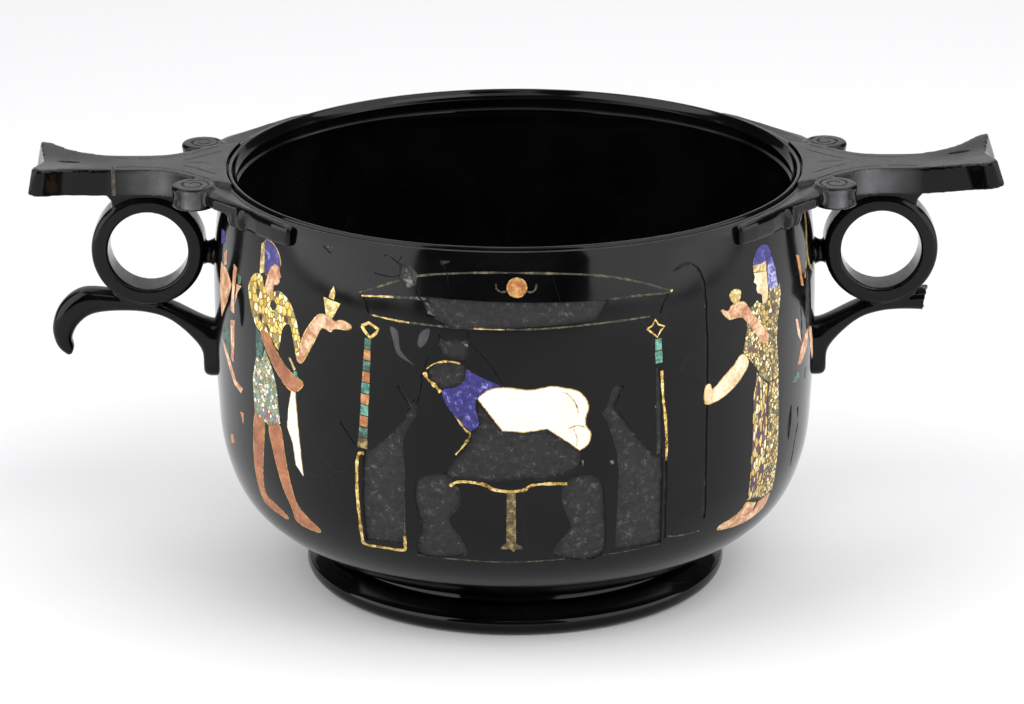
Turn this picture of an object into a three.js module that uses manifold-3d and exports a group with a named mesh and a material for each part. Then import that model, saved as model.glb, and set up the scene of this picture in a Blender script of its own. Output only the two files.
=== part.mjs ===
// Two-handled drinking cup carved from one block of obsidian, inlaid with gold wire and coloured stones.
// Millimetres, +Z up. The cup stands on its foot, the origin is under the middle of the foot,
// the handles lie along X and the main picture faces -Y.
import * as THREE from 'three';
import { mergeVertices } from 'three/addons/utils/BufferGeometryUtils.js';
import Module from 'manifold-3d';

const wasm = await Module();
wasm.setup();

// Bowl
const rimRadius = 90.3;
const rimHeight = 129.8;
const bellyRadius = 93.3;
const bellyHeight = 82;
const wallThickness = 5;
const floorTop = 15;
const turnSegments = 30;
const wallSteps = 7;
const hollowSteps = 5;

// Lip: a raised ring inside a shallow groove, a cove that slopes inward, and a small ledge below it
const lipWidth = 3.3;
const lipRise = 1.3;
const lipGroove = 0.6;
const coveDrop = 2.7;
const coveWidth = 1.6;
const ledgeDrop = 6;
const ledgeReach = 0.8;

// Foot
const footRadius = 65.8;
const footHeight = 8.2;
const footRingWidth = 8;
const stemRadius = 57;
const footRecessDepth = 3.2;

// Handle plate
const handleReach = 147.5;
const waistAt = 119;
const waistHalfWidth = 8.3;
const lobeHalfWidth = 16.4;
const plateTop = 131.6;
const plateThickness = 8.5;
const plateEdge = 1.6;
const lobeDip = 1.2;
const leftLift = 2.6;
const rightLift = 4.6;
const endNotch = 1.8;

// Finger ring, its saddle under the plate, and the strut between ring and bowl
const ringBore = 12.4;
const ringWall = 5.2;
const ringDepth = 13;
const ringReach = 113.4;
const saddleHeight = 0.7;
const strutRadius = 3.5;
const strutDrop = 2;
const ringSegments = 20;

// Spur under the ring
const spurRootHalfWidth = 5.5;
const spurBendHalfWidth = 4.3;
const spurTipHalfWidth = 1.6;
const spurBreakAt = 0.66;

// Scrolls, leaves, beads and bars that clasp the rim
const scrollRadius = 7.2;
const scrollThickness = 6.8;
const scrollReach = 97.5;
const scrollSpread = 23.5;
const rollSides = 6;
const barRadius = 3.2;
const barFrom = 30;
const barTo = 44;
const beadRadius = 4.1;
const beadFrom = 23.5;

// Inlay
const inlayDepth = 1.2;
const inlayGap = 0.3;
const emptyCellDepth = 0.6;
const goldWire = 0.9;
const figureHeight = 92;
const figureBase = 31;
const shrineHalfWidth = 44.5;
const shrineFloor = 34.6;
const discRadius = 2.9;
const discAt = [0.6, 11.9];
const columnWidth = 2.1;

// Each figure's place, measured along the wall from the shrine's edge to the figure's axis
const leftFigureBeyond = 35;
const rightFigureBeyond = 41.5;
const sideFigureBeyond = 71;

const obsidian = { color: 0x14151a, roughness: 0.12, metalness: 0 };
const gold = { color: 0xc9a04a, roughness: 0.35, metalness: 1 };
const lapis = { color: 0x2f37a0, roughness: 0.5, metalness: 0 };
const whiteStone = { color: 0xf3efe2, roughness: 0.55, metalness: 0 };
const coral = { color: 0xd08a5c, roughness: 0.5, metalness: 0 };
const paleCoral = { color: 0xe9bd92, roughness: 0.5, metalness: 0 };
const greenStone = { color: 0x3f7a62, roughness: 0.5, metalness: 0 };
const goldMosaic = { color: 0xb9a468, roughness: 0.45, metalness: 0.4 };
const orangeStone = { color: 0xd98a4a, roughness: 0.5, metalness: 0 };
const darkPaste = { color: 0x5a4a2c, roughness: 0.9, metalness: 0 };

const group = new THREE.Group();

// A closed solid from a three.js geometry, its faces turned outward
function solidOf(geometry) {
  const bare = geometry.index ? geometry.toNonIndexed() : geometry.clone();
  bare.deleteAttribute('normal');
  bare.deleteAttribute('uv');
  const merged = mergeVertices(bare, 1e-4);
  const points = new Float32Array(merged.attributes.position.array);
  const index = merged.index.array;
  const triangles = [];
  let volume = 0;
  const corner = [new THREE.Vector3(), new THREE.Vector3(), new THREE.Vector3()];
  for (let i = 0; i < index.length; i += 3) {
    const face = [index[i], index[i + 1], index[i + 2]];
    if (face[0] === face[1] || face[1] === face[2] || face[2] === face[0]) continue;
    face.forEach((vertex, k) => corner[k].fromArray(points, vertex * 3));
    volume += corner[0].dot(corner[1].clone().cross(corner[2])) / 6;
    triangles.push(...face);
  }
  if (volume < 0) {
    for (let i = 0; i < triangles.length; i += 3) {
      [triangles[i + 1], triangles[i + 2]] = [triangles[i + 2], triangles[i + 1]];
    }
  }
  const triVerts = new Uint32Array(triangles);
  return new wasm.Manifold(new wasm.Mesh({ numProp: 3, vertProperties: points, triVerts }));
}

function addPiece(name, solid, look) {
  const mesh = solid.getMesh();
  const geometry = new THREE.BufferGeometry();
  geometry.setAttribute('position', new THREE.BufferAttribute(new Float32Array(mesh.vertProperties), 3));
  geometry.setIndex(new THREE.BufferAttribute(new Uint32Array(mesh.triVerts), 1));
  geometry.computeVertexNormals();
  const piece = new THREE.Mesh(geometry, new THREE.MeshStandardMaterial(look));
  piece.name = name;
  group.add(piece);
}

const point = (x, y) => new THREE.Vector2(x, y);

// A profile of radius and height turned about the Z axis
function turned(profile, segments = turnSegments) {
  return new THREE.LatheGeometry(profile, segments).rotateX(Math.PI / 2);
}

// A skin through rings of points, closed at both ends by flat convex caps
function lofted(rings) {
  const count = rings[0].length;
  const positions = [];
  const triangle = (a, b, c) => positions.push(...a, ...b, ...c);
  for (let i = 0; i + 1 < rings.length; i += 1) {
    for (let k = 0; k < count; k += 1) {
      const next = (k + 1) % count;
      triangle(rings[i][k], rings[i + 1][k], rings[i + 1][next]);
      triangle(rings[i][k], rings[i + 1][next], rings[i][next]);
    }
  }
  const last = rings[rings.length - 1];
  for (let k = 1; k + 1 < count; k += 1) {
    triangle(rings[0][0], rings[0][k], rings[0][k + 1]);
    triangle(last[0], last[k + 1], last[k]);
  }
  const geometry = new THREE.BufferGeometry();
  geometry.setAttribute('position', new THREE.Float32BufferAttribute(positions, 3));
  return geometry;
}

// Eight points of a rounded section, as shares of its two half sizes
const roundedSection = [
  [1, -0.5], [1, 0.5], [0.55, 1], [-0.55, 1], [-1, 0.5], [-1, -0.5], [-0.55, -1], [0.55, -1],
];

// Bowl profile. The round of the lower wall is given as shares of the belly's radius and height.
const wallBase = footHeight + 1.2;
const roundOfWall = [[0.751, 0.09], [0.9, 0.24], [0.973, 0.45], [0.994, 0.7]];
const shoulderHeight = (bellyHeight + rimHeight) / 2;
const shoulderRadius = bellyRadius - 0.1 * (bellyRadius - rimRadius);
const wallCurve = new THREE.SplineCurve([
  point(stemRadius, wallBase),
  ...roundOfWall.map(([r, z]) => point(r * bellyRadius, wallBase + z * (bellyHeight - wallBase))),
  point(bellyRadius, bellyHeight),
  point(shoulderRadius, shoulderHeight),
  point(rimRadius, rimHeight),
]);
const wallProfile = wallCurve.getPoints(wallSteps);

// The wall's profile moved inward by a distance
function wallMovedIn(distance, steps = wallSteps) {
  return Array.from({ length: steps + 1 }, (_, i) => {
    const along = wallCurve.getTangent(i / steps);
    const at = wallCurve.getPoint(i / steps);
    return point(at.x - along.y * distance, at.y + along.x * distance);
  });
}

const footShoulder = footRadius - 3.5;
const lipOuter = rimRadius - 2;
const lipInner = rimRadius - lipWidth;
const lipTop = rimHeight + lipRise;

function bowlBlock() {
  const profile = [
    point(0, 0),
    point(footRadius - 3, 0),
    point(footRadius - 0.8, 0.15 * footHeight),
    point(footRadius, 0.42 * footHeight),
    point(footRadius - 0.6, 0.65 * footHeight),
    point(footShoulder, footHeight),
    point(footShoulder - 1.3, footHeight + 0.3),
    point(stemRadius + 1.5, footHeight + 0.2),
    ...wallProfile,
    point(rimRadius - 0.6, rimHeight + 0.3),
    point(lipOuter + 0.5, rimHeight + 0.3 - lipGroove),
    point(lipOuter, lipTop),
    point(0, lipTop),
  ];
  return solidOf(turned(profile));
}

// The space inside the bowl, open at the top
function hollow() {
  const coveRadius = lipInner - coveWidth;
  const underCove = lipTop - coveDrop;
  const ledgeHeight = lipTop - ledgeDrop;
  const innerWall = wallMovedIn(wallThickness, hollowSteps)
    .filter((at) => at.y > floorTop + 3 && at.y < ledgeHeight - 3);
  const profile = [
    point(0, floorTop),
    point(innerWall[0].x * 0.75, floorTop),
    ...innerWall,
    point(coveRadius + ledgeReach, ledgeHeight - 1.4),
    point(coveRadius, ledgeHeight - 0.6),
    point(coveRadius + ledgeReach, ledgeHeight),
    point(coveRadius + ledgeReach, underCove - 0.8),
    point(coveRadius, underCove),
    point(lipInner, lipTop),
    point(lipInner, lipTop + 2),
    point(0, lipTop + 2),
  ];
  return solidOf(turned(profile));
}

function footRecess() {
  const inner = footRadius - footRingWidth;
  return solidOf(turned([
    point(0, -1),
    point(inner, -1),
    point(inner, 0),
    point(inner - 2, footRecessDepth),
    point(0, footRecessDepth),
  ]));
}

// Handle plate: stations along X, each a ten-sided section with softened edges and a dip between the lobes
function plate(lift) {
  const rootAt = rimRadius - lipWidth + 1;
  const edge = new THREE.SplineCurve([
    point(rootAt, scrollSpread),
    point(scrollReach - 2, scrollSpread - scrollRadius + 2.5),
    point(waistAt - 12, waistHalfWidth + 1.4),
    point(waistAt, waistHalfWidth),
    point(waistAt + 9, waistHalfWidth + 0.3),
    point(handleReach - 10, 0.68 * lobeHalfWidth),
    point(handleReach - 3.5, 0.97 * lobeHalfWidth),
    point(handleReach, 0.94 * lobeHalfWidth),
  ]);
  const rings = edge.getPoints(9).map(({ x, y: halfWidth }) => {
    const outward = Math.max(0, (x - waistAt) / (handleReach - waistAt));
    const top = plateTop + lift * outward ** 2;
    const bottom = top - plateThickness;
    const dip = lobeDip * outward;
    const edgeTop = [[halfWidth - plateEdge, top], [halfWidth, top - plateEdge]];
    const edgeBottom = [[halfWidth, bottom + plateEdge], [halfWidth - plateEdge, bottom]];
    const half = [...edgeTop, ...edgeBottom];
    const mirrored = half.map(([y, z]) => [-y, z]).reverse();
    return [[0, top - dip], ...half, [0, bottom + dip], ...mirrored].map(([y, z]) => [x, y, z]);
  });
  // Each end fans out from the dip in the top, and the notch between the lobes is cut from the flat end
  const notchRadius = 9;
  const notch = new THREE.CylinderGeometry(notchRadius, notchRadius, 40, 16).rotateX(Math.PI / 2);
  notch.translate(handleReach + notchRadius - endNotch, 0, plateTop);
  return solidOf(lofted(rings)).subtract(solidOf(notch));
}

const plateBottom = plateTop - plateThickness;
const ringRadius = ringBore + ringWall;
const ringHeight = plateBottom - saddleHeight - ringRadius;

// Finger ring, turned about an axis along Y
function ring() {
  const half = ringDepth / 2;
  const profile = [
    point(ringBore, -half),
    point(ringRadius - 0.5 * ringWall, -half),
    point(ringRadius, -0.4 * half),
    point(ringRadius, 0.4 * half),
    point(ringRadius - 0.5 * ringWall, half),
    point(ringBore, half),
    point(ringBore, -half),
  ];
  return solidOf(new THREE.LatheGeometry(profile, ringSegments).translate(ringReach, 0, ringHeight));
}

function ringHole() {
  const bore = new THREE.CylinderGeometry(ringBore, ringBore, 3 * ringDepth, ringSegments);
  return solidOf(bore.translate(ringReach, 0, ringHeight));
}

// The saddle that spreads from the ring's crown to the plate's underside
function saddle() {
  const half = 0.46 * ringDepth;
  const top = plateBottom + 1;
  const shape = new THREE.Shape();
  shape.moveTo(ringReach - 0.75 * ringRadius, top);
  shape.lineTo(ringReach - 0.75 * ringRadius, plateBottom);
  shape.quadraticCurveTo(
    ringReach - 0.5 * ringRadius, plateBottom - 1.5,
    ringReach - 0.6 * ringRadius, ringHeight + 0.72 * ringRadius,
  );
  shape.lineTo(ringReach + 0.6 * ringRadius, ringHeight + 0.72 * ringRadius);
  shape.quadraticCurveTo(
    ringReach + 0.45 * ringRadius, plateBottom - 1.5,
    ringReach + 0.7 * ringRadius, plateBottom,
  );
  shape.lineTo(ringReach + 0.7 * ringRadius, top);
  const options = { depth: 2 * half, bevelEnabled: false, curveSegments: 4 };
  const block = new THREE.ExtrudeGeometry(shape, options);
  return solidOf(block.rotateX(Math.PI / 2).translate(0, half, 0)).subtract(ringHole());
}

// The short strut between the ring and the wall, waisted in the middle
function strut() {
  const from = bellyRadius - 2.5;
  const to = ringReach - ringRadius + 1.8;
  const profile = [
    point(0, from),
    point(1.5 * strutRadius, from),
    point(1.12 * strutRadius, from + 0.45 * (to - from)),
    point(strutRadius, from + 0.7 * (to - from)),
    point(1.3 * strutRadius, to),
    point(0, to),
  ];
  const spool = new THREE.LatheGeometry(profile, 10).rotateZ(-Math.PI / 2);
  return solidOf(spool.translate(0, 0, ringHeight - strutDrop)).subtract(ringHole());
}

// The spur sweeps from the wall under the ring and hooks down. Its two edges are drawn from the ring's
// lowest point, the root from the wall.
const ringFoot = ringHeight - ringRadius;
const spurOuter = new THREE.SplineCurve([
  point(bellyRadius - 3, ringFoot - 5.8),
  point(bellyRadius + 0.5, ringFoot - 6.2),
  point(bellyRadius + 4.5, ringFoot - 5),
  point(ringReach - 7, ringFoot - 0.8),
  point(ringReach + 1, ringFoot + 1.6),
  point(ringReach + 12, ringFoot + 3.6),
  point(ringReach + 21.5, ringFoot + 3.9),
  point(ringReach + 28, ringFoot - 0.8),
  point(ringReach + 30.8, ringFoot - 8),
  point(ringReach + 29.6, ringFoot - 14.5),
  point(ringReach + 26.4, ringFoot - 17.8),
]);
const spurInner = new THREE.SplineCurve([
  point(bellyRadius - 4, ringFoot - 24),
  point(bellyRadius + 3.4, ringFoot - 24),
  point(bellyRadius + 4.6, ringFoot - 15.5),
  point(ringReach - 7.5, ringFoot - 6.8),
  point(ringReach + 0.5, ringFoot - 3.6),
  point(ringReach + 10, ringFoot - 3.1),
  point(ringReach + 18, ringFoot - 4.2),
  point(ringReach + 22.6, ringFoot - 7.6),
  point(ringReach + 24.7, ringFoot - 12),
  point(ringReach + 24.2, ringFoot - 15),
  point(ringReach + 25, ringFoot - 17.6),
]);

function spur(isWhole) {
  const steps = isWhole ? 11 : 6;
  const end = isWhole ? 1 : spurBreakAt - 0.08;
  const rings = Array.from({ length: steps + 1 }, (_, i) => {
    const t = (i / steps) * end;
    const outer = spurOuter.getPoint(t);
    const inner = spurInner.getPoint(t);
    const toBend = Math.min(1, t / 0.5);
    const toTip = Math.max(0, (t - 0.72) / 0.28);
    const atBend = THREE.MathUtils.lerp(spurRootHalfWidth, spurBendHalfWidth, toBend);
    const halfWidth = THREE.MathUtils.lerp(atBend, spurTipHalfWidth, toTip ** 1.4);
    const middle = outer.clone().add(inner).multiplyScalar(0.5);
    const across = outer.clone().sub(inner).multiplyScalar(0.5);
    return roundedSection.map(([a, b]) => [
      middle.x + a * across.x, b * halfWidth, middle.y + a * across.y,
    ]);
  });
  return solidOf(lofted(rings));
}

// The rough face where the right spur broke off: a few slanted facets
function spurBreak() {
  const at = spurInner.getPoint(spurBreakAt - 0.12);
  const chunk = new THREE.IcosahedronGeometry(9, 1);
  return solidOf(chunk.translate(at.x + 10.2, -1.2, at.y + 3.2));
}

// Rolls that follow the rim, between two azimuths, with a radius at each of their stations
function rimRoll(fromAngle, toAngle, stations, lift = 0) {
  const height = rimHeight - barRadius + 0.4 + lift;
  const reach = rimRadius + 0.3 * barRadius;
  const rings = stations.map(([share, radius]) => {
    const angle = THREE.MathUtils.degToRad(fromAngle + share * (toAngle - fromAngle));
    return Array.from({ length: rollSides }, (_, k) => {
      const turn = ((k + 0.5) / rollSides) * 2 * Math.PI;
      const out = reach + radius * Math.cos(turn);
      return [out * Math.cos(angle), out * Math.sin(angle), height + radius * Math.sin(turn)];
    });
  });
  return solidOf(lofted(rings));
}

function bar() {
  const ends = 0.85 * barRadius;
  return rimRoll(barFrom, barTo, [[0, barRadius], [0.5, barRadius], [0.94, barRadius], [1, ends]]);
}

function bead() {
  const groove = 0.62 * beadRadius;
  return rimRoll(beadFrom, barFrom + 1, [
    [0, 0.8 * beadRadius], [0.12, beadRadius], [0.5, beadRadius],
    [0.6, groove], [0.76, 0.9 * beadRadius], [1, 0.9 * beadRadius],
  ], -0.5);
}

// A pointed leaf that lies on the root and tapers along the rim over the bar
function leaf() {
  const stations = [[13, 2.2, 2.4], [18, 6.4, 3], [23, 5.6, 2.8], [29, 2.6, 2], [barTo - 2, 0.8, 0.9]];
  const rings = stations.map(([degrees, width, height]) => {
    const angle = THREE.MathUtils.degToRad(degrees);
    const inner = rimRadius - 2.5;
    const base = rimHeight - 3;
    const section = [
      [inner, base], [inner + 2.2 + width, base], [inner + 2.2 + width, rimHeight + 0.2 * height],
      [inner + 2.2 + 0.5 * width, rimHeight + 0.4 * height], [inner, rimHeight - 0.4],
    ];
    return section.map(([out, z]) => [out * Math.cos(angle), out * Math.sin(angle), z]);
  });
  return solidOf(lofted(rings));
}

// A scroll: an upright drum with a softened rim and a sunken eye
function scroll() {
  const top = plateTop - 0.2;
  const bottom = top - scrollThickness;
  const profile = [
    point(0, bottom),
    point(scrollRadius, bottom),
    point(scrollRadius, top - 1),
    point(scrollRadius - 0.9, top),
    point(0, top - 0.3),
  ];
  const drum = turned(profile, 9).scale(0.92, 1, 1);
  return solidOf(drum.translate(scrollReach, scrollSpread, 0));
}

function mirroredAcross(solid, axis) {
  return solid.scale(axis === 'x' ? [-1, 1, 1] : [1, -1, 1]);
}

function handle(lift, spurIsWhole) {
  const clasp = bar().add(bead()).add(leaf()).add(scroll());
  const arm = spurIsWhole ? spur(true) : spur(false).subtract(spurBreak());
  return plate(lift)
    .add(saddle())
    .add(ring())
    .add(strut())
    .add(arm)
    .add(clasp)
    .add(mirroredAcross(clasp, 'y'));
}

// Inlays and cells. An outline is drawn flat, across and up in millimetres, on the plane that touches
// the wall at an azimuth from the front, and is pushed straight into the wall.
function prismOf(outline, azimuth) {
  const shape = new THREE.Shape(outline.map(([x, y]) => point(x, y)));
  const depth = bellyRadius;
  const block = new THREE.ExtrudeGeometry(shape, { depth, bevelEnabled: false });
  const turn = THREE.MathUtils.degToRad(azimuth);
  const across = new THREE.Vector3(Math.cos(turn), Math.sin(turn), 0);
  const up = new THREE.Vector3(0, 0, 1);
  const outward = new THREE.Vector3(Math.sin(turn), -Math.cos(turn), 0);
  block.applyMatrix4(new THREE.Matrix4().makeBasis(across, up, outward));
  return solidOf(block.translate(outward.x * 12, outward.y * 12, 0));
}

function signedArea(outline) {
  return outline.reduce((sum, [x, y], i) => {
    const [nextX, nextY] = outline[(i + 1) % outline.length];
    return sum + (x * nextY - nextX * y) / 2;
  }, 0);
}

// An outline moved outward by a distance, or inward by a negative one
function grown(outline, distance) {
  const side = Math.sign(signedArea(outline)) * distance;
  return outline.map(([x, y], i) => {
    const [lastX, lastY] = outline[(i + outline.length - 1) % outline.length];
    const [nextX, nextY] = outline[(i + 1) % outline.length];
    const before = point(x - lastX, y - lastY).normalize();
    const after = point(nextX - x, nextY - y).normalize();
    const bisector = point(before.y + after.y, -before.x - after.x).normalize();
    const mitre = Math.max(0.45, bisector.dot(point(before.y, -before.x)));
    return [x + (bisector.x * side) / mitre, y + (bisector.y * side) / mitre];
  });
}

// A line of even width along a run of points
function strip(run, width) {
  const sideOf = (side) => run.map(([x, y], i) => {
    const before = i > 0 ? point(x - run[i - 1][0], y - run[i - 1][1]).normalize() : null;
    const after = i + 1 < run.length ? point(run[i + 1][0] - x, run[i + 1][1] - y).normalize() : null;
    const along = (before ?? after).clone().add(after ?? before).normalize();
    const mitre = Math.max(0.5, along.dot(before ?? after));
    return [x - (along.y * side * width) / 2 / mitre, y + (along.x * side * width) / 2 / mitre];
  });
  return [...sideOf(1), ...sideOf(-1).reverse()];
}

const round = (x, y, radius, sides = 10) => Array.from({ length: sides }, (_, i) => {
  const turn = (i / sides) * 2 * Math.PI;
  return [x + radius * Math.cos(turn), y + radius * Math.sin(turn)];
});

// The wall's skin down to a depth, with its outer face on the wall or a little outside it
function skin(depth, isCutter) {
  const outer = isCutter ? wallMovedIn(-1.5) : wallProfile;
  const inner = wallMovedIn(depth).reverse();
  return solidOf(turned([...outer, ...inner, outer[0]]));
}

const inlaySkin = skin(inlayDepth, false);
const cellSkin = skin(inlayDepth + inlayGap, true);
const emptySkin = skin(emptyCellDepth, true);
const inlays = [];
const inlaidCells = [];
const emptyCells = [];

const piece = (name, look, outline) => ({ name, look, outline });

// Pieces of one figure or scene, the upper ones first: each is cut clear of those listed before it
function inlay(azimuth, pieces) {
  const above = [];
  pieces.forEach(({ name, outline, look }) => {
    const clear = grown(outline, -inlayGap / 2);
    let solid = prismOf(clear, azimuth);
    above.forEach((earlier) => {
      solid = solid.subtract(earlier);
    });
    inlays.push({ name, look, solid: solid.intersect(inlaySkin) });
    above.push(prismOf(grown(outline, inlayGap / 2), azimuth));
  });
  inlaidCells.push(...above);
}

function emptyCell(azimuth, outline) {
  emptyCells.push(prismOf(outline, azimuth));
}

// Shrine. Its parts hang from its half width, its floor line and its cornice.
const corniceHeight = shrineFloor + 73.4;
const atShrine = (points) => points.map(([x, y]) => [
  x * shrineHalfWidth, shrineFloor + y * (corniceHeight - shrineFloor),
]);

function shrine(azimuth, prefix, isPlain) {
  const capital = [[-0.95, 1.005], [-0.9, 0.955], [-0.96, 0.915], [-1.01, 0.955]];
  const columnLeft = strip(atShrine([[-0.955, 0.885], [-1.03, 0.45]]), columnWidth);
  const columnRight = strip(atShrine([[0.94, 0.915], [0.955, 0.83]]), columnWidth);
  const mirrorOf = (points) => points.map(([x, y]) => [-x, y]).reverse();
  const discOutline = round(discAt[0], corniceHeight + discAt[1], discRadius);
  const disc = piece(`${prefix}sun_disc`, orangeStone, discOutline);
  const band = atShrine([
    [-0.59, 1.11], [0.62, 1.095], [0.54, 1.018], [0.1, 0.992], [-0.42, 0.99], [-0.52, 1.03],
  ]);
  const attendant = atShrine([
    [-0.68, 0.69], [-0.65, 0.615], [-0.74, 0.5], [-0.73, 0.02], [-1.0, 0.01], [-1.01, 0.42],
    [-0.93, 0.46], [-0.8, 0.55], [-0.71, 0.63],
  ]);
  const kneeling = atShrine([
    [-0.64, 0.34], [-0.5, 0.375], [-0.39, 0.33], [-0.365, 0.24], [-0.44, 0.17], [-0.35, 0.08],
    [-0.34, 0], [-0.65, -0.01], [-0.63, 0.11], [-0.67, 0.25],
  ]);
  emptyCell(azimuth, band);
  if (isPlain) {
    inlay(azimuth, [
      disc,
      piece(`${prefix}left_column`, greenStone, columnLeft),
      piece(`${prefix}right_column`, greenStone, mirrorOf(columnLeft)),
    ]);
    return;
  }
  emptyCell(azimuth, attendant);
  emptyCell(azimuth, mirrorOf(attendant));
  emptyCell(azimuth, kneeling);
  emptyCell(azimuth, mirrorOf(kneeling));
  const leftFrame = strip(atShrine([
    [-1.0, 0.435], [-1.045, 0.41], [-1.055, 0.25], [-1.035, 0.05], [-1.01, 0.005], [-0.75, 0.005],
    [-0.735, 0.03], [-0.735, 0.28],
  ]), goldWire);
  const rightFrame = strip(atShrine([[1.0, 0.77], [1.005, 0.6], [1.01, 0.395]]), goldWire);
  inlay(azimuth, [
    disc,
    piece('left_capital', gold, atShrine(capital)),
    piece('right_capital', gold, atShrine(mirrorOf(capital))),
    piece('left_column', greenStone, columnLeft),
    piece('right_column', greenStone, columnRight),
    piece('left_frame_wire', gold, leftFrame),
    piece('right_frame_wire', gold, rightFrame),
  ]);
}

// The calf on its stand. Places are millimetres from the middle of the stand's top.
function calf() {
  const standTop = shrineFloor + 24.8;
  const at = (points) => points.map(([x, y]) => [x, standTop + y]);
  const body = at([
    [-11.2, 27], [-8, 29.2], [-3, 30.3], [4, 29.5], [11, 30.4], [16.5, 29.4], [21.6, 24],
    [20.6, 18.6], [22.2, 15], [19, 10.4], [9.8, 17.6], [-3.8, 17.2],
  ]);
  const neck = at([
    [-13.9, 36], [-3.6, 30.6], [-8, 29.2], [-11.2, 27], [-10.8, 19.2],
    [-13, 16.6], [-19.6, 23.6], [-21.4, 27.8],
  ]);
  const head = at([
    [-26, 34.6], [-20.5, 37.6], [-14.6, 36.8], [-14.8, 32.4], [-19, 30.2], [-22.4, 29.4], [-25.2, 31],
  ]);
  const crown = at([[-22.2, 46], [-13.4, 46.6], [-14, 39.8], [-19, 39.4], [-21.8, 41]]);
  const mount = at([
    [-14.4, 10.6], [-10.8, 18.6], [-4, 16.2], [9.8, 16.4], [19.6, 9.6], [18.4, 4], [7.6, 1.2], [-6.3, 1],
    [-19.2, 1.6], [-21, 2.8], [-16, 8],
  ]);
  const standWire = strip(at([
    [-19.3, -1.2], [-17, 0.2], [-8.6, -0.4], [-6.3, -1.7], [2.6, -1.7], [4.6, 0], [15.3, -0.4],
  ]), goldWire);
  const leg = at([
    [-2.5, -2.8], [0.1, -2.8], [0.3, -20], [1.9, -20.6], [1.9, -21.8],
    [-4.4, -21.8], [-4.4, -20.6], [-2.8, -20],
  ]);
  inlay(0, [
    piece('calf_body', whiteStone, body),
    piece('calf_neck', lapis, neck),
    piece('stand_wire', gold, standWire),
    piece('stand_leg', darkPaste, leg),
  ]);
  emptyCell(0, head);
  emptyCell(0, crown);
  emptyCell(0, mount);
}

// The azimuth of a place so far along the wall from the shrine's edge
const azimuthBeyond = (distance) => THREE.MathUtils.radToDeg(
  Math.asin(shrineHalfWidth / bellyRadius) + distance / bellyRadius,
);

// A standing figure is drawn in hundredths of its height, across from its axis and up from its soles.
const asFigure = (part) => ({
  ...part,
  outline: part.outline.map(([x, y]) => [
    (x * figureHeight) / 100, figureBase + (y * figureHeight) / 100,
  ]),
});

function leftFigure() {
  const pieces = [
    piece('left_figure_face', paleCoral, [
      [-4.4, 90.6], [0.9, 92.4], [1.7, 89], [0.9, 86.2], [-2, 84.6], [-2.4, 82.4], [-7.4, 83.4],
      [-6.6, 88.2],
    ]),
    piece('left_figure_wig', lapis, [
      [-8.4, 97.6], [-4.6, 98.6], [-0.4, 96.8], [1.2, 93.6], [-2.4, 92.4], [-4.4, 90.6],
      [-7, 88.2],
    ]),
    piece('left_figure_lowered_arm', coral, [
      [-8.4, 67.4], [-4.4, 68.2], [5.4, 58.6], [12.8, 55.4], [9.2, 51.8], [4.2, 54],
    ]),
    piece('left_figure_raised_arm', paleCoral, [
      [10.2, 66.6], [17, 77], [22, 80.2], [31.8, 79.4], [26.4, 76], [21.6, 75.8], [13.4, 63.2],
      [9.8, 64],
    ]),
    piece('left_figure_cup', gold, [
      [22, 86.4], [28.2, 85.6], [25.8, 80.8], [23.2, 81.2],
    ]),
    piece('left_figure_tunic', goldMosaic, [
      [-13, 86.4], [-8.2, 86.6], [-2.4, 82.2], [6.8, 81.4], [12.2, 69.4], [10, 66.2], [6.2, 72.6],
      [2, 70], [0.8, 63.6], [-12, 70.4], [-16.6, 80.4],
    ]),
    piece('left_figure_sash', whiteStone, [
      [7.8, 51.2], [9.2, 51.6], [11, 22.6], [8, 25.6], [4.8, 38.2],
    ]),
    piece('left_figure_kilt', greenStone, [
      [-10.6, 66.4], [-8.2, 66.8], [-1, 54.6], [1.2, 38], [-4.8, 36.4], [-13.6, 38.4], [-14.2, 50],
    ]),
    piece('left_figure_back_leg', coral, [
      [-13.4, 38.2], [-8.2, 37.2], [-12.4, 8.4], [-2.2, 4.6], [-3.6, 2.6], [-15.4, 3.6],
      [-15.8, 25],
    ]),
    piece('left_figure_front_leg', coral, [
      [-5, 36.2], [1, 37.8], [6.4, 10], [15.2, 3.4], [13.4, 1.8], [2.4, 3], [1, 11], [-4.2, 28],
    ]),
  ];
  inlay(-azimuthBeyond(leftFigureBeyond), pieces.map(asFigure));
}

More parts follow.
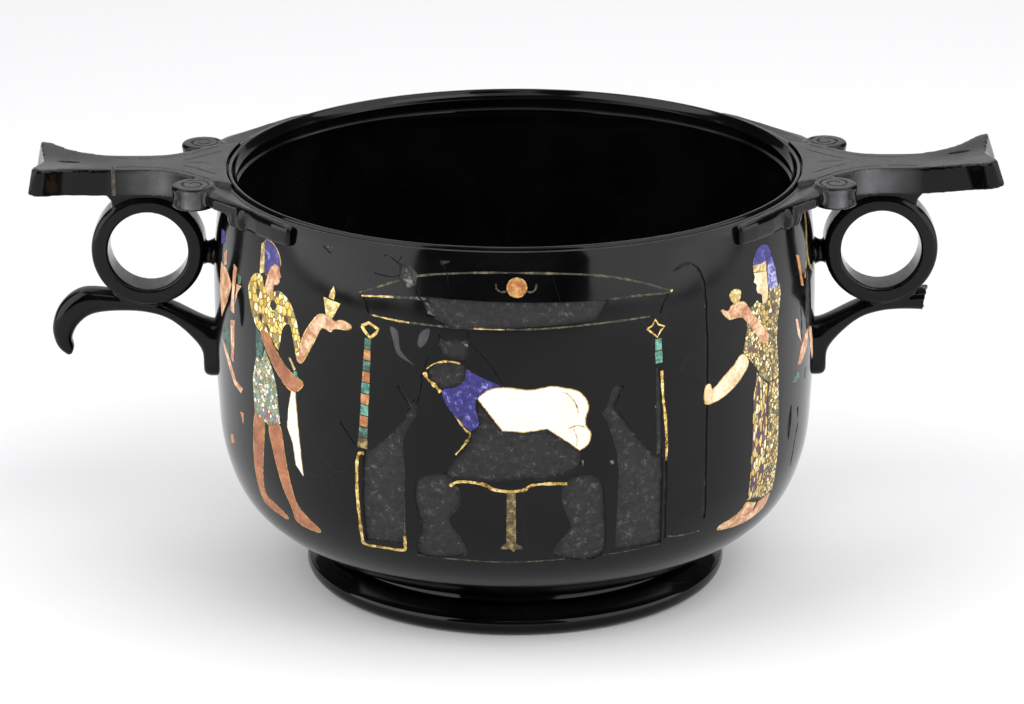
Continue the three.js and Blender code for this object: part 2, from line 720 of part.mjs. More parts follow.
function rightFigure() {
  const pieces = [
    piece('right_figure_face', paleCoral, [
      [-6.6, 91.6], [0.6, 92.2], [1, 85.4], [0, 81.2], [-3.8, 83], [-4.6, 85], [-6.6, 86.6],
    ]),
    piece('right_figure_wig', lapis, [
      [1, 98.8], [-3.4, 98], [-6.6, 91.8], [0.8, 92.4], [1.2, 85.4], [6.8, 83.4], [7.2, 94],
    ]),
    piece('right_figure_raised_arm', coral, [
      [-22.6, 83], [-12, 82.4], [0.8, 69.4], [0.4, 66], [-4, 68.4], [-12, 77.6], [-19.4, 80.2],
    ]),
    piece('right_figure_cup', gold, [
      [-18.4, 87.6], [-13, 87], [-14.2, 84], [-16.8, 84.2],
    ]),
    piece('right_figure_forearm', whiteStone, [
      [-13.2, 65.6], [-9.8, 61.6], [-18, 55], [-28.6, 51.8], [-28.8, 58], [-22.6, 59.4],
    ]),
    piece('right_figure_dress', goldMosaic, [
      [-5, 84.2], [1.8, 84.6], [10, 82.2], [6.4, 68], [8, 44], [12, 12], [-5, 12.6], [-7, 48],
      [-5, 58.6], [-12.8, 66.4], [-10, 82.2],
    ]),
    piece('right_figure_feet', paleCoral, [
      [-5, 12.2], [9.8, 11.4], [12.4, 3.4], [9.4, 1.8], [-16.4, 3.8], [-18.6, 5.2], [-9, 8.4],
    ]),
  ];
  inlay(azimuthBeyond(rightFigureBeyond), pieces.map(asFigure));
}

// What is left of the two figures beside each handle
function sideFigures() {
  const azimuth = azimuthBeyond(sideFigureBeyond);
  inlay(-azimuth, [
    piece('far_left_shoulder', goldMosaic, [
      [-4, 107.6], [3, 107], [8, 103.6], [4, 96.6], [-3, 90], [-5, 98],
    ]),
    piece('far_left_arm', paleCoral, [
      [9, 110.4], [12, 109.8], [10.4, 101.6], [10.2, 95], [7.2, 95.2],
    ]),
    piece('far_left_foot', coral, [
      [2, 81], [5.4, 82], [10.6, 77.6], [16, 72.8], [13.6, 70.8], [5.4, 76],
    ]),
  ]);
  inlay(azimuth, [
    piece('far_right_band', gold, [
      [1.4, 114], [6.6, 113], [4.4, 106.8], [8, 101.4], [3.6, 100.8], [0.4, 106.6],
    ]),
    piece('far_right_legs', coral, [
      [1.4, 85.8], [9.4, 84.6], [12, 74], [4, 75.6], [-7, 77], [-4.4, 81.6],
    ]),
  ]);
}

shrine(0, '', false);
calf();
leftFigure();
rightFigure();
sideFigures();
shrine(180, 'back_', true);

const union = (solids) => solids.reduce((sum, solid) => sum.add(solid));
const cup = bowlBlock()
  .add(handle(rightLift, false))
  .add(mirroredAcross(handle(leftLift, true), 'x'))
  .subtract(hollow())
  .subtract(footRecess())
  .subtract(union(inlaidCells).intersect(cellSkin))
  .subtract(union(emptyCells).intersect(emptySkin));
addPiece('cup', cup, obsidian);
inlays.forEach(({ name, solid, look }) => addPiece(name, solid, look));

export default group;
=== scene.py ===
import math

import bmesh
import bpy
from mathutils import Matrix, Vector, noise


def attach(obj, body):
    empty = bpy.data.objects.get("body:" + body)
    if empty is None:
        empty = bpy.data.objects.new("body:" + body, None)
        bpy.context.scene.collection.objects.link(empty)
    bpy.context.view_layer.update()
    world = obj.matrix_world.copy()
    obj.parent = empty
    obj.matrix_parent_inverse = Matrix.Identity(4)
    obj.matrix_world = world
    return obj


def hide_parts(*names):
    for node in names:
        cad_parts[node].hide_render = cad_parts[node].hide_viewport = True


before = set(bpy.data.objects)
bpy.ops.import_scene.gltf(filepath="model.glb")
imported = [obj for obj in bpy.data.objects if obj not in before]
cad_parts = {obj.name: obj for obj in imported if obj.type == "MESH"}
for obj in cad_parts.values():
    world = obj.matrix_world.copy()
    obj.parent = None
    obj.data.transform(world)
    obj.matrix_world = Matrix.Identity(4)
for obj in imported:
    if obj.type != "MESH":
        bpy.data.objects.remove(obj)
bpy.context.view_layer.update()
bpy.ops.object.select_all(action="DESELECT")

# The camera looks down at the shrine picture from the front, with a long lens.
mm = 0.001
view_tilt = math.radians(18.431)
view_roll = math.radians(-0.1355)
view_distance = 1454.4 * mm
aim = Vector((-0.87, 0, 69.72)) * mm
bpy.ops.object.camera_add()
camera = bpy.context.object
camera.matrix_world = (
    Matrix.Translation(aim + view_distance * Vector((0, -math.cos(view_tilt), math.sin(view_tilt))))
    @ Matrix.Rotation(math.pi / 2 - view_tilt, 4, "X")
    @ Matrix.Rotation(view_roll, 4, "Z")
)
camera.data.lens = 163.45
camera.data.clip_end = 20
bpy.context.scene.camera = camera

# Table and backdrop: one sheet of pale paper that rises behind the cup in a wide curve.
bpy.ops.mesh.primitive_plane_add(size=3, location=(0, 0.7, 0))
paper = bpy.context.object
paper.name = "paper_sweep"
bpy.ops.object.transform_apply(location=True)
bpy.ops.object.mode_set(mode="EDIT")
bpy.ops.mesh.select_all(action="DESELECT")
paper_mesh = bmesh.from_edit_mesh(paper.data)
for edge in paper_mesh.edges:
    edge.select = min(v.co.y for v in edge.verts) > 2
bmesh.update_edit_mesh(paper.data)
bpy.ops.mesh.extrude_region_move(TRANSFORM_OT_translate={"value": (0, 0, 2.2)})
bpy.ops.object.mode_set(mode="OBJECT")
fold = paper.modifiers.new("fold", "BEVEL")
fold.width = 0.7
fold.segments = 24
fold.limit_method = "ANGLE"
bpy.ops.object.modifier_apply(modifier=fold.name)
bpy.ops.object.shade_smooth()
paper_look = bpy.data.materials.new("pale_paper")
paper_look.use_nodes = True
paper_shader = paper_look.node_tree.nodes["Principled BSDF"]
paper_shader.inputs["Base Color"].default_value = (0.83, 0.83, 0.84, 1)
paper_shader.inputs["Roughness"].default_value = 0.9
paper.data.materials.append(paper_look)


# Light: a wide softbox on each side, one overhead, one above the camera, one on the backdrop, and a dim
# grey room.
def softbox(name, place, toward, width, height, power):
    bpy.ops.object.light_add(type="AREA", location=place)
    lamp = bpy.context.object
    lamp.name = name
    lamp.rotation_euler = (Vector(toward) - Vector(place)).to_track_quat("-Z", "Y").to_euler()
    lamp.data.shape = "RECTANGLE"
    lamp.data.size = width
    lamp.data.size_y = height
    lamp.data.energy = power


softbox("left_softbox", (-0.68, -0.3, 0.64), (0, 0, 0.56), 0.95, 1.25, 11.5)
softbox("right_softbox", (0.67, -0.36, 0.68), (0, 0, 0.56), 1.2, 1.34, 13.5)
softbox("top_softbox", (0.1, 0.5, 1.7), (0.1, 0.1, 0), 2.4, 1.4, 15)
softbox("front_softbox", (0.5, -1, 1.5), (0.15, -0.1, 0), 1.8, 0.6, 6)
softbox("backdrop_light", (0, 0.9, 1.6), (0, 1.9, 0.9), 2.6, 0.8, 14)
room = bpy.data.worlds.new("dim_room")
room.use_nodes = True
room.node_tree.nodes["Background"].inputs["Color"].default_value = (0.5, 0.5, 0.52, 1)
room.node_tree.nodes["Background"].inputs["Strength"].default_value = 0.1
bpy.context.scene.world = room
bpy.context.scene.view_settings.view_transform = "Standard"


# Bowl and foot: turned from one block of obsidian, with a raised lip, a cove and a ledge inside the
# mouth, and a round foot ring. Its sizes are those of the solid cup, and its wall is the same curve.
rim_radius = 90.3
rim_height = 129.8
lip_width = 3.3
lip_rise = 1.3
wall_thickness = 5
floor_top = 15
foot_radius = 65.8
foot_height = 8.4
turn_steps = 288
wall_points = [
    (57, 9.4), (70.07, 15.93), (83.97, 26.82), (90.78, 42.07), (92.74, 60.22),
    (93.3, 82), (93.0, 105.9), (rim_radius, rim_height),
]


def curve_through(points, steps, closed=False):
    """Points along an even curve that passes through the given ones."""
    count = len(points)
    spans = count if closed else count - 1
    found = []
    for span in range(spans):
        around = [points[(span + k) % count] if closed else points[min(max(span + k, 0), count - 1)]
                  for k in (-1, 0, 1, 2)]
        for step in range(steps):
            t = step / steps
            weights = (
                (-t + 2 * t**2 - t**3) / 2, (2 - 5 * t**2 + 3 * t**3) / 2,
                (t + 4 * t**2 - 3 * t**3) / 2, (-t**2 + t**3) / 2,
            )
            found.append(tuple(sum(w * p[axis] for w, p in zip(weights, around))
                               for axis in range(len(points[0]))))
    if not closed:
        found.append(tuple(points[-1]))
    return found


def moved_in(line, distance):
    """A profile moved toward the axis, square to its own run."""
    moved = []
    for i, (r, z) in enumerate(line):
        before, after = line[max(i - 1, 0)], line[min(i + 1, len(line) - 1)]
        run = Vector((after[0] - before[0], after[1] - before[1])).normalized()
        moved.append((r - run.y * distance, z + run.x * distance))
    return moved


def arc(centre, radii, start, end, steps):
    angles = [math.radians(start + (end - start) * k / steps) for k in range(steps + 1)]
    return [(centre[0] + radii[0] * math.cos(a), centre[1] + radii[1] * math.sin(a)) for a in angles]


def turned(name, profile, steps=turn_steps, start=0, angle=360, closed=False):
    """A profile of radius and height in millimetres, spun about the cup's axis."""
    mesh = bpy.data.meshes.new(name)
    first = Matrix.Rotation(math.radians(start), 3, "Z")
    corners = [first @ Vector((r * mm, 0, z * mm)) for r, z in profile]
    edges = [(i, i + 1) for i in range(len(corners) - 1)]
    if closed:
        edges.append((len(corners) - 1, 0))
    mesh.from_pydata(corners, edges, [])
    piece = bpy.data.objects.new(name, mesh)
    bpy.context.collection.objects.link(piece)
    bpy.ops.object.select_all(action="DESELECT")
    piece.select_set(True)
    bpy.context.view_layer.objects.active = piece
    bpy.ops.object.mode_set(mode="EDIT")
    bpy.ops.mesh.select_all(action="SELECT")
    bpy.ops.mesh.spin(steps=steps, angle=math.radians(angle), center=(0, 0, 0), axis=(0, 0, -1))
    if closed and angle < 360:
        bpy.ops.mesh.select_all(action="SELECT")
        bpy.ops.mesh.remove_doubles(threshold=1e-6)
        bpy.ops.mesh.select_all(action="DESELECT")
        bpy.ops.mesh.select_non_manifold(extend=False, use_multi_face=False, use_verts=False)
        bpy.ops.mesh.edge_face_add()
    bpy.ops.mesh.select_all(action="SELECT")
    bpy.ops.mesh.remove_doubles(threshold=1e-6)
    bpy.ops.mesh.normals_make_consistent(inside=False)
    bpy.ops.object.mode_set(mode="OBJECT")
    return piece


wall = curve_through(wall_points, 6)
lip_top = rim_height + lip_rise
lip_inner = rim_radius - lip_width
cove_edge = lip_inner - 1.5
ledge_top = lip_top - 6
foot_profile = [(0, 3.2), (55.2, 3.2), (57.2, 1.1), (58, 0.15), (58.8, 0)]
foot_profile += arc((foot_radius - 3.6, 3.6), (3.6, 3.6), -90, 27, 14)
foot_profile += [(65.2, 5.4), (64.95, 5.5), (64, 6.5), (62.5, foot_height - 0.1), (61.9, foot_height + 0.3)]
foot_profile += [(61.2, foot_height + 0.4), (59, foot_height + 0.1), (57.3, foot_height + 0.3)]
lip_profile = [(rim_radius - 0.15, rim_height + 0.35), (rim_radius - 0.5, rim_height + 0.5)]
lip_profile += [(89.25, 130.3), (89.05, 129.9), (88.95, 129.4), (88.7, 129.35), (88.55, 129.8)]
lip_profile += arc((87.75, 130.2), (0.75, 0.9), 20, 150, 7)
lip_profile += [(86.9, 130.1), (86.4, 129.3), (86, 128.8), (cove_edge + 0.1, 128.5), (cove_edge, 128.35)]
lip_profile += [(cove_edge + 0.1, 128.1), (86.2, 127.7), (86.4, 126.6), (86.3, ledge_top + 0.2)]
lip_profile += [(86, ledge_top), (cove_edge + 0.05, ledge_top - 0.4), (cove_edge, ledge_top - 0.7)]
lip_profile += [(86, ledge_top - 1.3)]
inner_wall = [p for p in moved_in(wall, wall_thickness) if 17.5 < p[1] < ledge_top - 3][::-1]
inner_wall += [(56, 15.7), (52, floor_top), (0, floor_top)]
bowl = turned("bowl", foot_profile + wall + lip_profile + inner_wall)

# Handles: a flat plate that flares into two lobes, a finger ring on a saddle and a strut, and a spur
# below it. Each is carved in one with the bowl. The right spur has broken off beyond the ring.
handle_reach = 147.5
waist_at = 119
waist_half_width = 8.3
lobe_half_width = 16.4
plate_top = 131.6
plate_thickness = 8.5
left_lift, right_lift = 2.6, 4.6
ring_bore, ring_wall, ring_depth, ring_reach = 12.4, 5.2, 13, 113.4
plate_bottom = plate_top - plate_thickness
ring_radius = ring_bore + ring_wall
ring_height = plate_bottom - 0.7 - ring_radius
ring_foot = ring_height - ring_radius
scroll_radius, scroll_reach, scroll_spread = 7.2, 97.5, 23.5
plate_edge = curve_through([
    (88.6, scroll_spread), (scroll_reach - 2, scroll_spread - 4.7), (waist_at - 12, waist_half_width + 1.4),
    (waist_at, waist_half_width), (waist_at + 9, waist_half_width + 0.3),
    (handle_reach - 10, 0.68 * lobe_half_width), (handle_reach - 3.5, 0.97 * lobe_half_width),
    (handle_reach, 0.94 * lobe_half_width),
], 8)


def apply_modifier(piece, kind, **values):
    bpy.context.view_layer.objects.active = piece
    modifier = piece.modifiers.new(kind.lower(), kind)
    for key, value in values.items():
        setattr(modifier, key, value)
    bpy.ops.object.modifier_apply(modifier=modifier.name)


def choose(*pieces):
    bpy.ops.object.select_all(action="DESELECT")
    for piece in pieces:
        piece.select_set(True)
    bpy.context.view_layer.objects.active = pieces[0]


def joined(pieces):
    choose(*pieces)
    bpy.ops.object.join()
    return pieces[0]


def cut(piece, cutter, operation="DIFFERENCE", overlapping=False):
    apply_modifier(piece, "BOOLEAN", operation=operation, object=cutter, solver="EXACT",
                   use_self=overlapping,
                   material_mode="TRANSFER")
    bpy.data.objects.remove(cutter)


def lofted(name, rings):
    """A closed skin bridged through rings of points, in millimetres."""
    mesh = bpy.data.meshes.new(name)
    count = len(rings[0])
    corners = [Vector(p) * mm for ring in rings for p in ring]
    edges = [(r * count + k, r * count + (k + 1) % count) for r in range(len(rings)) for k in range(count)]
    mesh.from_pydata(corners, edges, [])
    piece = bpy.data.objects.new(name, mesh)
    bpy.context.collection.objects.link(piece)
    choose(piece)
    bpy.ops.object.mode_set(mode="EDIT")
    skin = bmesh.from_edit_mesh(mesh)
    skin.verts.ensure_lookup_table()
    for r in range(len(rings) - 1):
        for k in range(count):
            near, far = r * count + k, r * count + (k + 1) % count
            skin.faces.new([skin.verts[i] for i in (near, far, far + count, near + count)])
    skin.faces.new([skin.verts[k] for k in range(count)][::-1])
    skin.faces.new([skin.verts[(len(rings) - 1) * count + k] for k in range(count)])
    bmesh.update_edit_mesh(mesh)
    bpy.ops.mesh.select_all(action="SELECT")
    bpy.ops.mesh.normals_make_consistent(inside=False)
    bpy.ops.object.mode_set(mode="OBJECT")
    return piece


def placed(piece, matrix):
    piece.data.transform(matrix)
    return piece


def plate(lift):
    bpy.ops.mesh.primitive_grid_add(x_subdivisions=70, y_subdivisions=24, size=2)
    piece = bpy.context.object
    for vertex in piece.data.vertices:
        along, across = (vertex.co.x + 1) / 2, vertex.co.y
        at = along * (len(plate_edge) - 1)
        low = min(int(at), len(plate_edge) - 2)
        x, half = (a + (at - low) * (b - a) for a, b in zip(plate_edge[low], plate_edge[low + 1]))
        y = across * half
        x += (math.sqrt(88.6**2 - min(y * y, 600)) - 88.6) * (1 - along) ** 2
        outward = max(0, (x - waist_at) / (handle_reach - waist_at))
        x -= 2.4 * (1 - abs(across)) * outward**4
        dish = (1 - across**2) ** 2
        z = plate_top + lift * outward**2 - 1.6 * outward**1.5 * dish
        vertex.co = Vector((x, y, z)) * mm
    apply_modifier(piece, "SOLIDIFY", thickness=plate_thickness * mm, offset=-1)
    return piece


def ring():
    section = []
    corner = 1.7
    for cx, cy, start in (
        (ring_radius - corner, ring_depth / 2 - corner, 0), (ring_bore + 0.7, ring_depth / 2 - 0.7, 90),
        (ring_bore + 0.7, 0.7 - ring_depth / 2, 180), (ring_radius - corner, corner - ring_depth / 2, 270),
    ):
        size = corner if cx > ring_radius - 2 else 0.7
        section += arc((cx, cy), (size, size), start, start + 90, 5)
    piece = turned("finger_ring", section, steps=120, closed=True)
    upright = Matrix.Rotation(math.pi / 2, 4, "X")
    return placed(piece, Matrix.Translation(Vector((ring_reach, 0, ring_height)) * mm) @ upright)


def saddle():
    half = 0.46 * ring_depth
    rings = []
    for share in (-1, -0.85, 0.85, 1):
        outline = []
        for side in (-1, 1):
            run = [(0.78, plate_bottom + 1.5), (0.7, plate_bottom - 0.6), (0.62, plate_bottom - 2.2),
                   (0.6, ring_height + 0.74 * ring_radius)]
            run = run if side < 0 else run[::-1]
            outline += [(ring_reach + side * reach * ring_radius, share * half, z) for reach, z in run]
        rings.append(outline)
    return lofted("saddle", rings)


def strut():
    start, end = rim_radius - 1, ring_reach - ring_radius + 1.8
    profile = [(0, start), (5.6, start), (4.7, start + 3.4), (3.7, start + 5.2), (3.5, start + 6),
               (3.9, end - 1)]
    profile += [(4.6, end), (0, end)]
    piece = turned("strut", profile, steps=40)
    lying = Matrix.Rotation(math.pi / 2, 4, "Y")
    return placed(piece, Matrix.Translation(Vector((0, 0, ring_height - 2)) * mm) @ lying)


spur_outer = curve_through([
    (90.3, ring_foot - 5.8), (93.8, ring_foot - 6.2), (97.8, ring_foot - 5),
                            (ring_reach - 7, ring_foot - 0.8),
    (ring_reach + 1, ring_foot + 1.6), (ring_reach + 12, ring_foot + 3.6),
                            (ring_reach + 21.5, ring_foot + 3.9),
    (ring_reach + 28, ring_foot - 0.8), (ring_reach + 30.8, ring_foot - 8),
                            (ring_reach + 29.6, ring_foot - 14.5),
    (ring_reach + 26.4, ring_foot - 17.8),
], 5)
spur_inner = curve_through([
    (89.3, ring_foot - 24), (96.7, ring_foot - 24), (97.9, ring_foot - 15.5),
                            (ring_reach - 7.5, ring_foot - 6.8),
    (ring_reach + 0.5, ring_foot - 3.6), (ring_reach + 10, ring_foot - 3.1),
                            (ring_reach + 18, ring_foot - 4.2),
    (ring_reach + 22.6, ring_foot - 7.6), (ring_reach + 24.7, ring_foot - 12),
                            (ring_reach + 24.2, ring_foot - 15),
    (ring_reach + 25, ring_foot - 17.6),
], 5)


def spur(is_whole):
    last = len(spur_outer) - 1
    stations = range(last + 1) if is_whole else range(int(0.62 * last) + 1)
    rings = []
    for i in stations:
        t = i / last
        outer, inner = Vector(spur_outer[i]), Vector(spur_inner[i])
        middle, reach = (outer + inner) / 2, (outer - inner) / 2
        half_width = 5.5 - 1.2 * min(1, t / 0.5) - 2.9 * (max(0, t - 0.72) / 0.28) ** 1.4
        ring_points = []
        for k in range(20):
            a = 2 * math.pi * k / 20
            c, s = math.cos(a), math.sin(a)
            c, s = math.copysign(abs(c) ** 0.7, c), math.copysign(abs(s) ** 0.7, s)
            ring_points.append((middle.x + c * reach.x, s * half_width, middle.y + c * reach.y))
        rings.append(ring_points)
    return lofted("spur", rings)


# Clasps: on each side of a plate a scroll drum, then a leaf, a collared bead and a round bar lie along
# the rim. They are one stone with the handle.
bar_radius = 3.3
bar_depth = 0.7
bar_reach = rim_radius + 0.5
bar_height = rim_height - bar_radius + 0.3


def along_rim(stations, reach, height, squareness=1.0, sides=24):
    """A roll that follows the rim through stations of degrees and share of the bar's radius."""
    rings = []
    for degrees, share in stations:
        a = math.radians(degrees)
        radius = share * bar_radius
        ring_points = []
        for k in range(sides):
            b = 2 * math.pi * k / sides
            out = math.copysign(abs(math.cos(b)) ** squareness, math.cos(b))
            up = math.copysign(abs(math.sin(b)) ** squareness, math.sin(b))
            r = reach + bar_depth * radius * out
            ring_points.append((r * math.cos(a), r * math.sin(a), height + radius * up))
        rings.append(ring_points)
    return lofted("roll", rings)


def clasp():
    bar = along_rim([(29, 1), (34, 1.02), (39, 1), (42.4, 0.94), (43.4, 0.9), (43.7, 0.7)],
                    bar_reach, bar_height, 0.45)
    bead = along_rim([
        (23.2, 0.5), (23.5, 0.95), (24.2, 1.12), (25.2, 1.16), (26.4, 1.1), (26.8, 0.8), (27.5, 0.8),
                      (27.8, 1.04),
        (28.8, 1.04), (29.1, 0.84), (29.5, 0.84),
    ], bar_reach + 1.5, bar_height - 0.5, 0.75)
    leaf = []
    for degrees, width, height in (
        (12, 3, 0.5), (15, 5.4, 1.6), (18, 6.9, 2), (21, 6.4, 1.9), (24, 4.6, 1.6), (28, 2.8, 1.3),
        (33, 1.7, 1), (38, 1, 0.7), (41, 0.4, 0.4),
    ):
        a = math.radians(degrees)
        low = rim_height - 3.2
        section = [(88.9, low), (91 + width, low), (91 + width, rim_height + 0.1 * height)]
        section += [(90.8 + 0.6 * width, rim_height + 0.35 + 0.35 * height), (90.4, rim_height + 0.3)]
        section += [(88.9, rim_height + 0.2)]
        leaf.append([(r * math.cos(a), r * math.sin(a), z) for r, z in section])
    drum_profile = [(0, plate_top - 7), (scroll_radius - 0.8, plate_top - 7),
                    (scroll_radius, plate_top - 6.2)]
    drum_profile += [(scroll_radius - 0.5, plate_top - 3.5), (scroll_radius, plate_top - 0.8)]
    drum_profile += [(scroll_radius - 0.7, plate_top - 0.1), (0, plate_top - 0.1)]
    drum = turned("scroll_drum", drum_profile, steps=48)
    placed(drum, Matrix.Translation(Vector((scroll_reach, scroll_spread, 0)) * mm) @ Matrix.Diagonal((0.95,
                                                                                                      1, 1,
                                                                                                      1)))
    return [bar, bead, lofted("leaf", leaf), drum]


def twin(piece):
    copy = piece.copy()
    copy.data = piece.data.copy()
    bpy.context.collection.objects.link(copy)
    return copy


def mirrored(piece, axis):
    """The piece turned over in place, its faces outward again."""
    piece.data.transform(Matrix.Scale(-1, 4, axis))
    piece.data.flip_normals()
    return piece


def rough_bite():
    """A knobbly lump, taken out of the right spur where it snapped."""
    bpy.ops.mesh.primitive_ico_sphere_add(subdivisions=5, radius=9.4 * mm)
    lump = bpy.context.object
    for vertex in lump.data.vertices:
        shift = noise.fractal(vertex.co * 260, 1.0, 2.0, 4) + 0.6 * abs(noise.noise(vertex.co * 700))
        vertex.co *= 1 + 0.09 * shift
    lump.data.transform(Matrix.Translation(Vector((ring_reach + 22.6, -1.2, ring_foot + 0.2)) * mm))
    lump.data.materials.append(broken_glass)
    return lump


def plan_prism(name, outlines, low, high, look):
    """Outlines seen from above, raised between two heights, to be cut from a handle."""
    mesh = bpy.data.meshes.new(name)
    corners, faces = [], []
    for outline in outlines:
        faces.append(list(range(len(corners), len(corners) + len(outline))))
        corners += [Vector((x, y, low)) * mm for x, y in outline]
    mesh.from_pydata(corners, [], faces)
    piece = bpy.data.objects.new(name, mesh)
    bpy.context.collection.objects.link(piece)
    choose(piece)
    bpy.ops.object.mode_set(mode="EDIT")
    bpy.ops.mesh.select_all(action="SELECT")
    bpy.ops.mesh.extrude_region_move(TRANSFORM_OT_translate={"value": (0, 0, (high - low) * mm)})
    bpy.ops.mesh.select_all(action="SELECT")
    bpy.ops.mesh.normals_make_consistent(inside=False)
    bpy.ops.object.mode_set(mode="OBJECT")
    mesh.materials.append(look)
    return piece


def engraved_lines():
    """A border along both edges of the plate, a leaf with its vein, and a spiral on each scroll drum."""
    border = [(124, 5.4), (116, 4.6), (108, 6), (102, 9), (97, 14), (92.4, 18.6)]
    leaf_side = [(102, 3), (98, 6), (94, 10), (91, 13)]
    spiral = []
    for k in range(34):
        a = 2.2 + 1.6 * 2 * math.pi * k / 33
        r = 5.4 - 3.9 * k / 33
        spiral.append((scroll_reach + 0.92 * r * math.cos(a), scroll_spread + r * math.sin(a)))
    lines = [strip(curve_through(border, 4), 0.55, 0.5), strip(spiral, 0.7, 0.4)]
    lines.append(strip(curve_through(leaf_side, 4), 0.5, 0.5))
    mirrored_lines = [[(x, -y) for x, y in line][::-1] for line in lines]
    vein = strip([(101.2, 0.6), (98, 0.2), (94, -0.4)], 0.45, 0.5)
    return lines + mirrored_lines + [vein]


def handle(lift, is_whole):
    parts = [plate(lift), ring(), saddle(), strut(), spur(is_whole)]
    clasps = clasp()
    parts += clasps + [mirrored(twin(piece), (0, 1, 0)) for piece in clasps]
    stone = joined(parts)
    apply_modifier(stone, "REMESH", mode="VOXEL", voxel_size=0.5 * mm)
    apply_modifier(stone, "SMOOTH", factor=0.5, iterations=3)
    inside = turned("mouth", [(0, 40), (88.95, 40), (88.95, 140), (0, 140)])
    apply_modifier(stone, "DECIMATE", ratio=0.42)
    stone.data.materials.clear()
    stone.data.materials.append(obsidian)
    cut(stone, inside)
    cut(stone, plan_prism("engraving", engraved_lines(), plate_top - 0.45, plate_top + 3, broken_glass))
    slot_y = 0 if is_whole else 4.6
    slot = arc((137.5, slot_y), (3.6, 0.95), 0, 345, 23)
    cut(stone, plan_prism("lens_slot", [slot], plate_top - 1.4, plate_top + 6, open_bed))
    if is_whole:
        side_mend = [(122.8, -10), (122.7, -8.2), (123, -7.6), (123.6, -7.7), (123.8, -8.2), (123.7, -10)]
        top_mend = [(122.5, -9), (122.9, -6), (122.4, -3.6), (122.9, -2.4), (123.4, -3.8), (123.5, -6.2),
                    (123.3, -9)]
        cut(stone, plan_prism("side_mend", [side_mend], plate_bottom - 1, plate_top + 1.5, old_glue))
        cut(stone, plan_prism("top_mend", [top_mend], plate_top - 0.3, plate_top + 2, old_glue))
    else:
        cut(stone, rough_bite())
        glue_spot = [(109, -12), (109.6, -9), (111.6, -8.6), (113, -9.4), (113.4, -12)]
        cut(stone, plan_prism("glue_spot", [glue_spot], plate_bottom + 3, plate_top - 1.2, old_glue))
    return stone


# Looks shared by the stones: each effect is a small node group, so the same wear, fleck and grain serve
# several materials at their own sizes.
def new_look(name):
    look = bpy.data.materials.new(name)
    look.use_nodes = True
    nodes = look.node_tree.nodes
    return look, nodes, look.node_tree.links, nodes["Principled BSDF"]


def add_node(nodes, kind, **values):
    node = nodes.new(kind)
    for key, value in values.items():
        if key in node.inputs:
            node.inputs[key].default_value = value
        else:
            setattr(node, key, value)
    return node


def ramp(nodes, stops):
    """A colour ramp from (position, colour) stops."""
    node = nodes.new("ShaderNodeValToRGB")
    band = node.color_ramp.elements
    while len(band) < len(stops):
        band.new(0.5)
    for element, (position, colour) in zip(band, stops):
        element.position = position
        element.color = (*colour, 1) if len(colour) == 3 else colour
    return node


def group_of(name, sockets_in, sockets_out):
    """An empty node group with float or colour sockets, its Object coordinates ready to use."""
    effect = bpy.data.node_groups.new(name, "ShaderNodeTree")
    for socket, default in sockets_in.items():
        made = effect.interface.new_socket(socket, in_out="INPUT", socket_type="NodeSocketFloat")
        made.default_value = default
    for socket, kind in sockets_out.items():
        effect.interface.new_socket(socket, in_out="OUTPUT", socket_type=kind)
    nodes = effect.nodes
    entry, leave = nodes.new("NodeGroupInput"), nodes.new("NodeGroupOutput")
    place = nodes.new("ShaderNodeTexCoord")
    return effect, nodes, effect.links, entry, leave, place


def use_group(nodes, effect, **values):
    node = nodes.new("ShaderNodeGroup")
    node.node_tree = effect
    for key, value in values.items():
        node.inputs[key.replace("_", " ").capitalize()].default_value = value
    return node


# Grain: a fine uneven surface, as a height and as a mask of light specks.
grain, nodes, links, entry, leave, place = group_of(
    "stone_grain", {"Size": 900, "Specks": 0.62}, {"Height": "NodeSocketFloat",
                                                   "Speckle": "NodeSocketFloat"})
fine = add_node(nodes, "ShaderNodeTexNoise", Detail=6, Roughness=0.65)
links.new(place.outputs["Object"], fine.inputs["Vector"])
links.new(entry.outputs["Size"], fine.inputs["Scale"])
specks = add_node(nodes, "ShaderNodeMath", operation="GREATER_THAN")
links.new(fine.outputs["Fac"], specks.inputs[0])
links.new(entry.outputs["Specks"], specks.inputs[1])
links.new(fine.outputs["Fac"], leave.inputs["Height"])
links.new(specks.outputs[0], leave.inputs["Speckle"])

# Clouds: slow changes of tone across a stone.
clouds, nodes, links, entry, leave, place = group_of(
    "stone_clouds", {"Size": 120}, {"Amount": "NodeSocketFloat"})
slow = add_node(nodes, "ShaderNodeTexNoise", Detail=3, Roughness=0.55, Distortion=0.6)
links.new(place.outputs["Object"], slow.inputs["Vector"])
links.new(entry.outputs["Size"], slow.inputs["Scale"])
links.new(slow.outputs["Fac"], leave.inputs["Amount"])


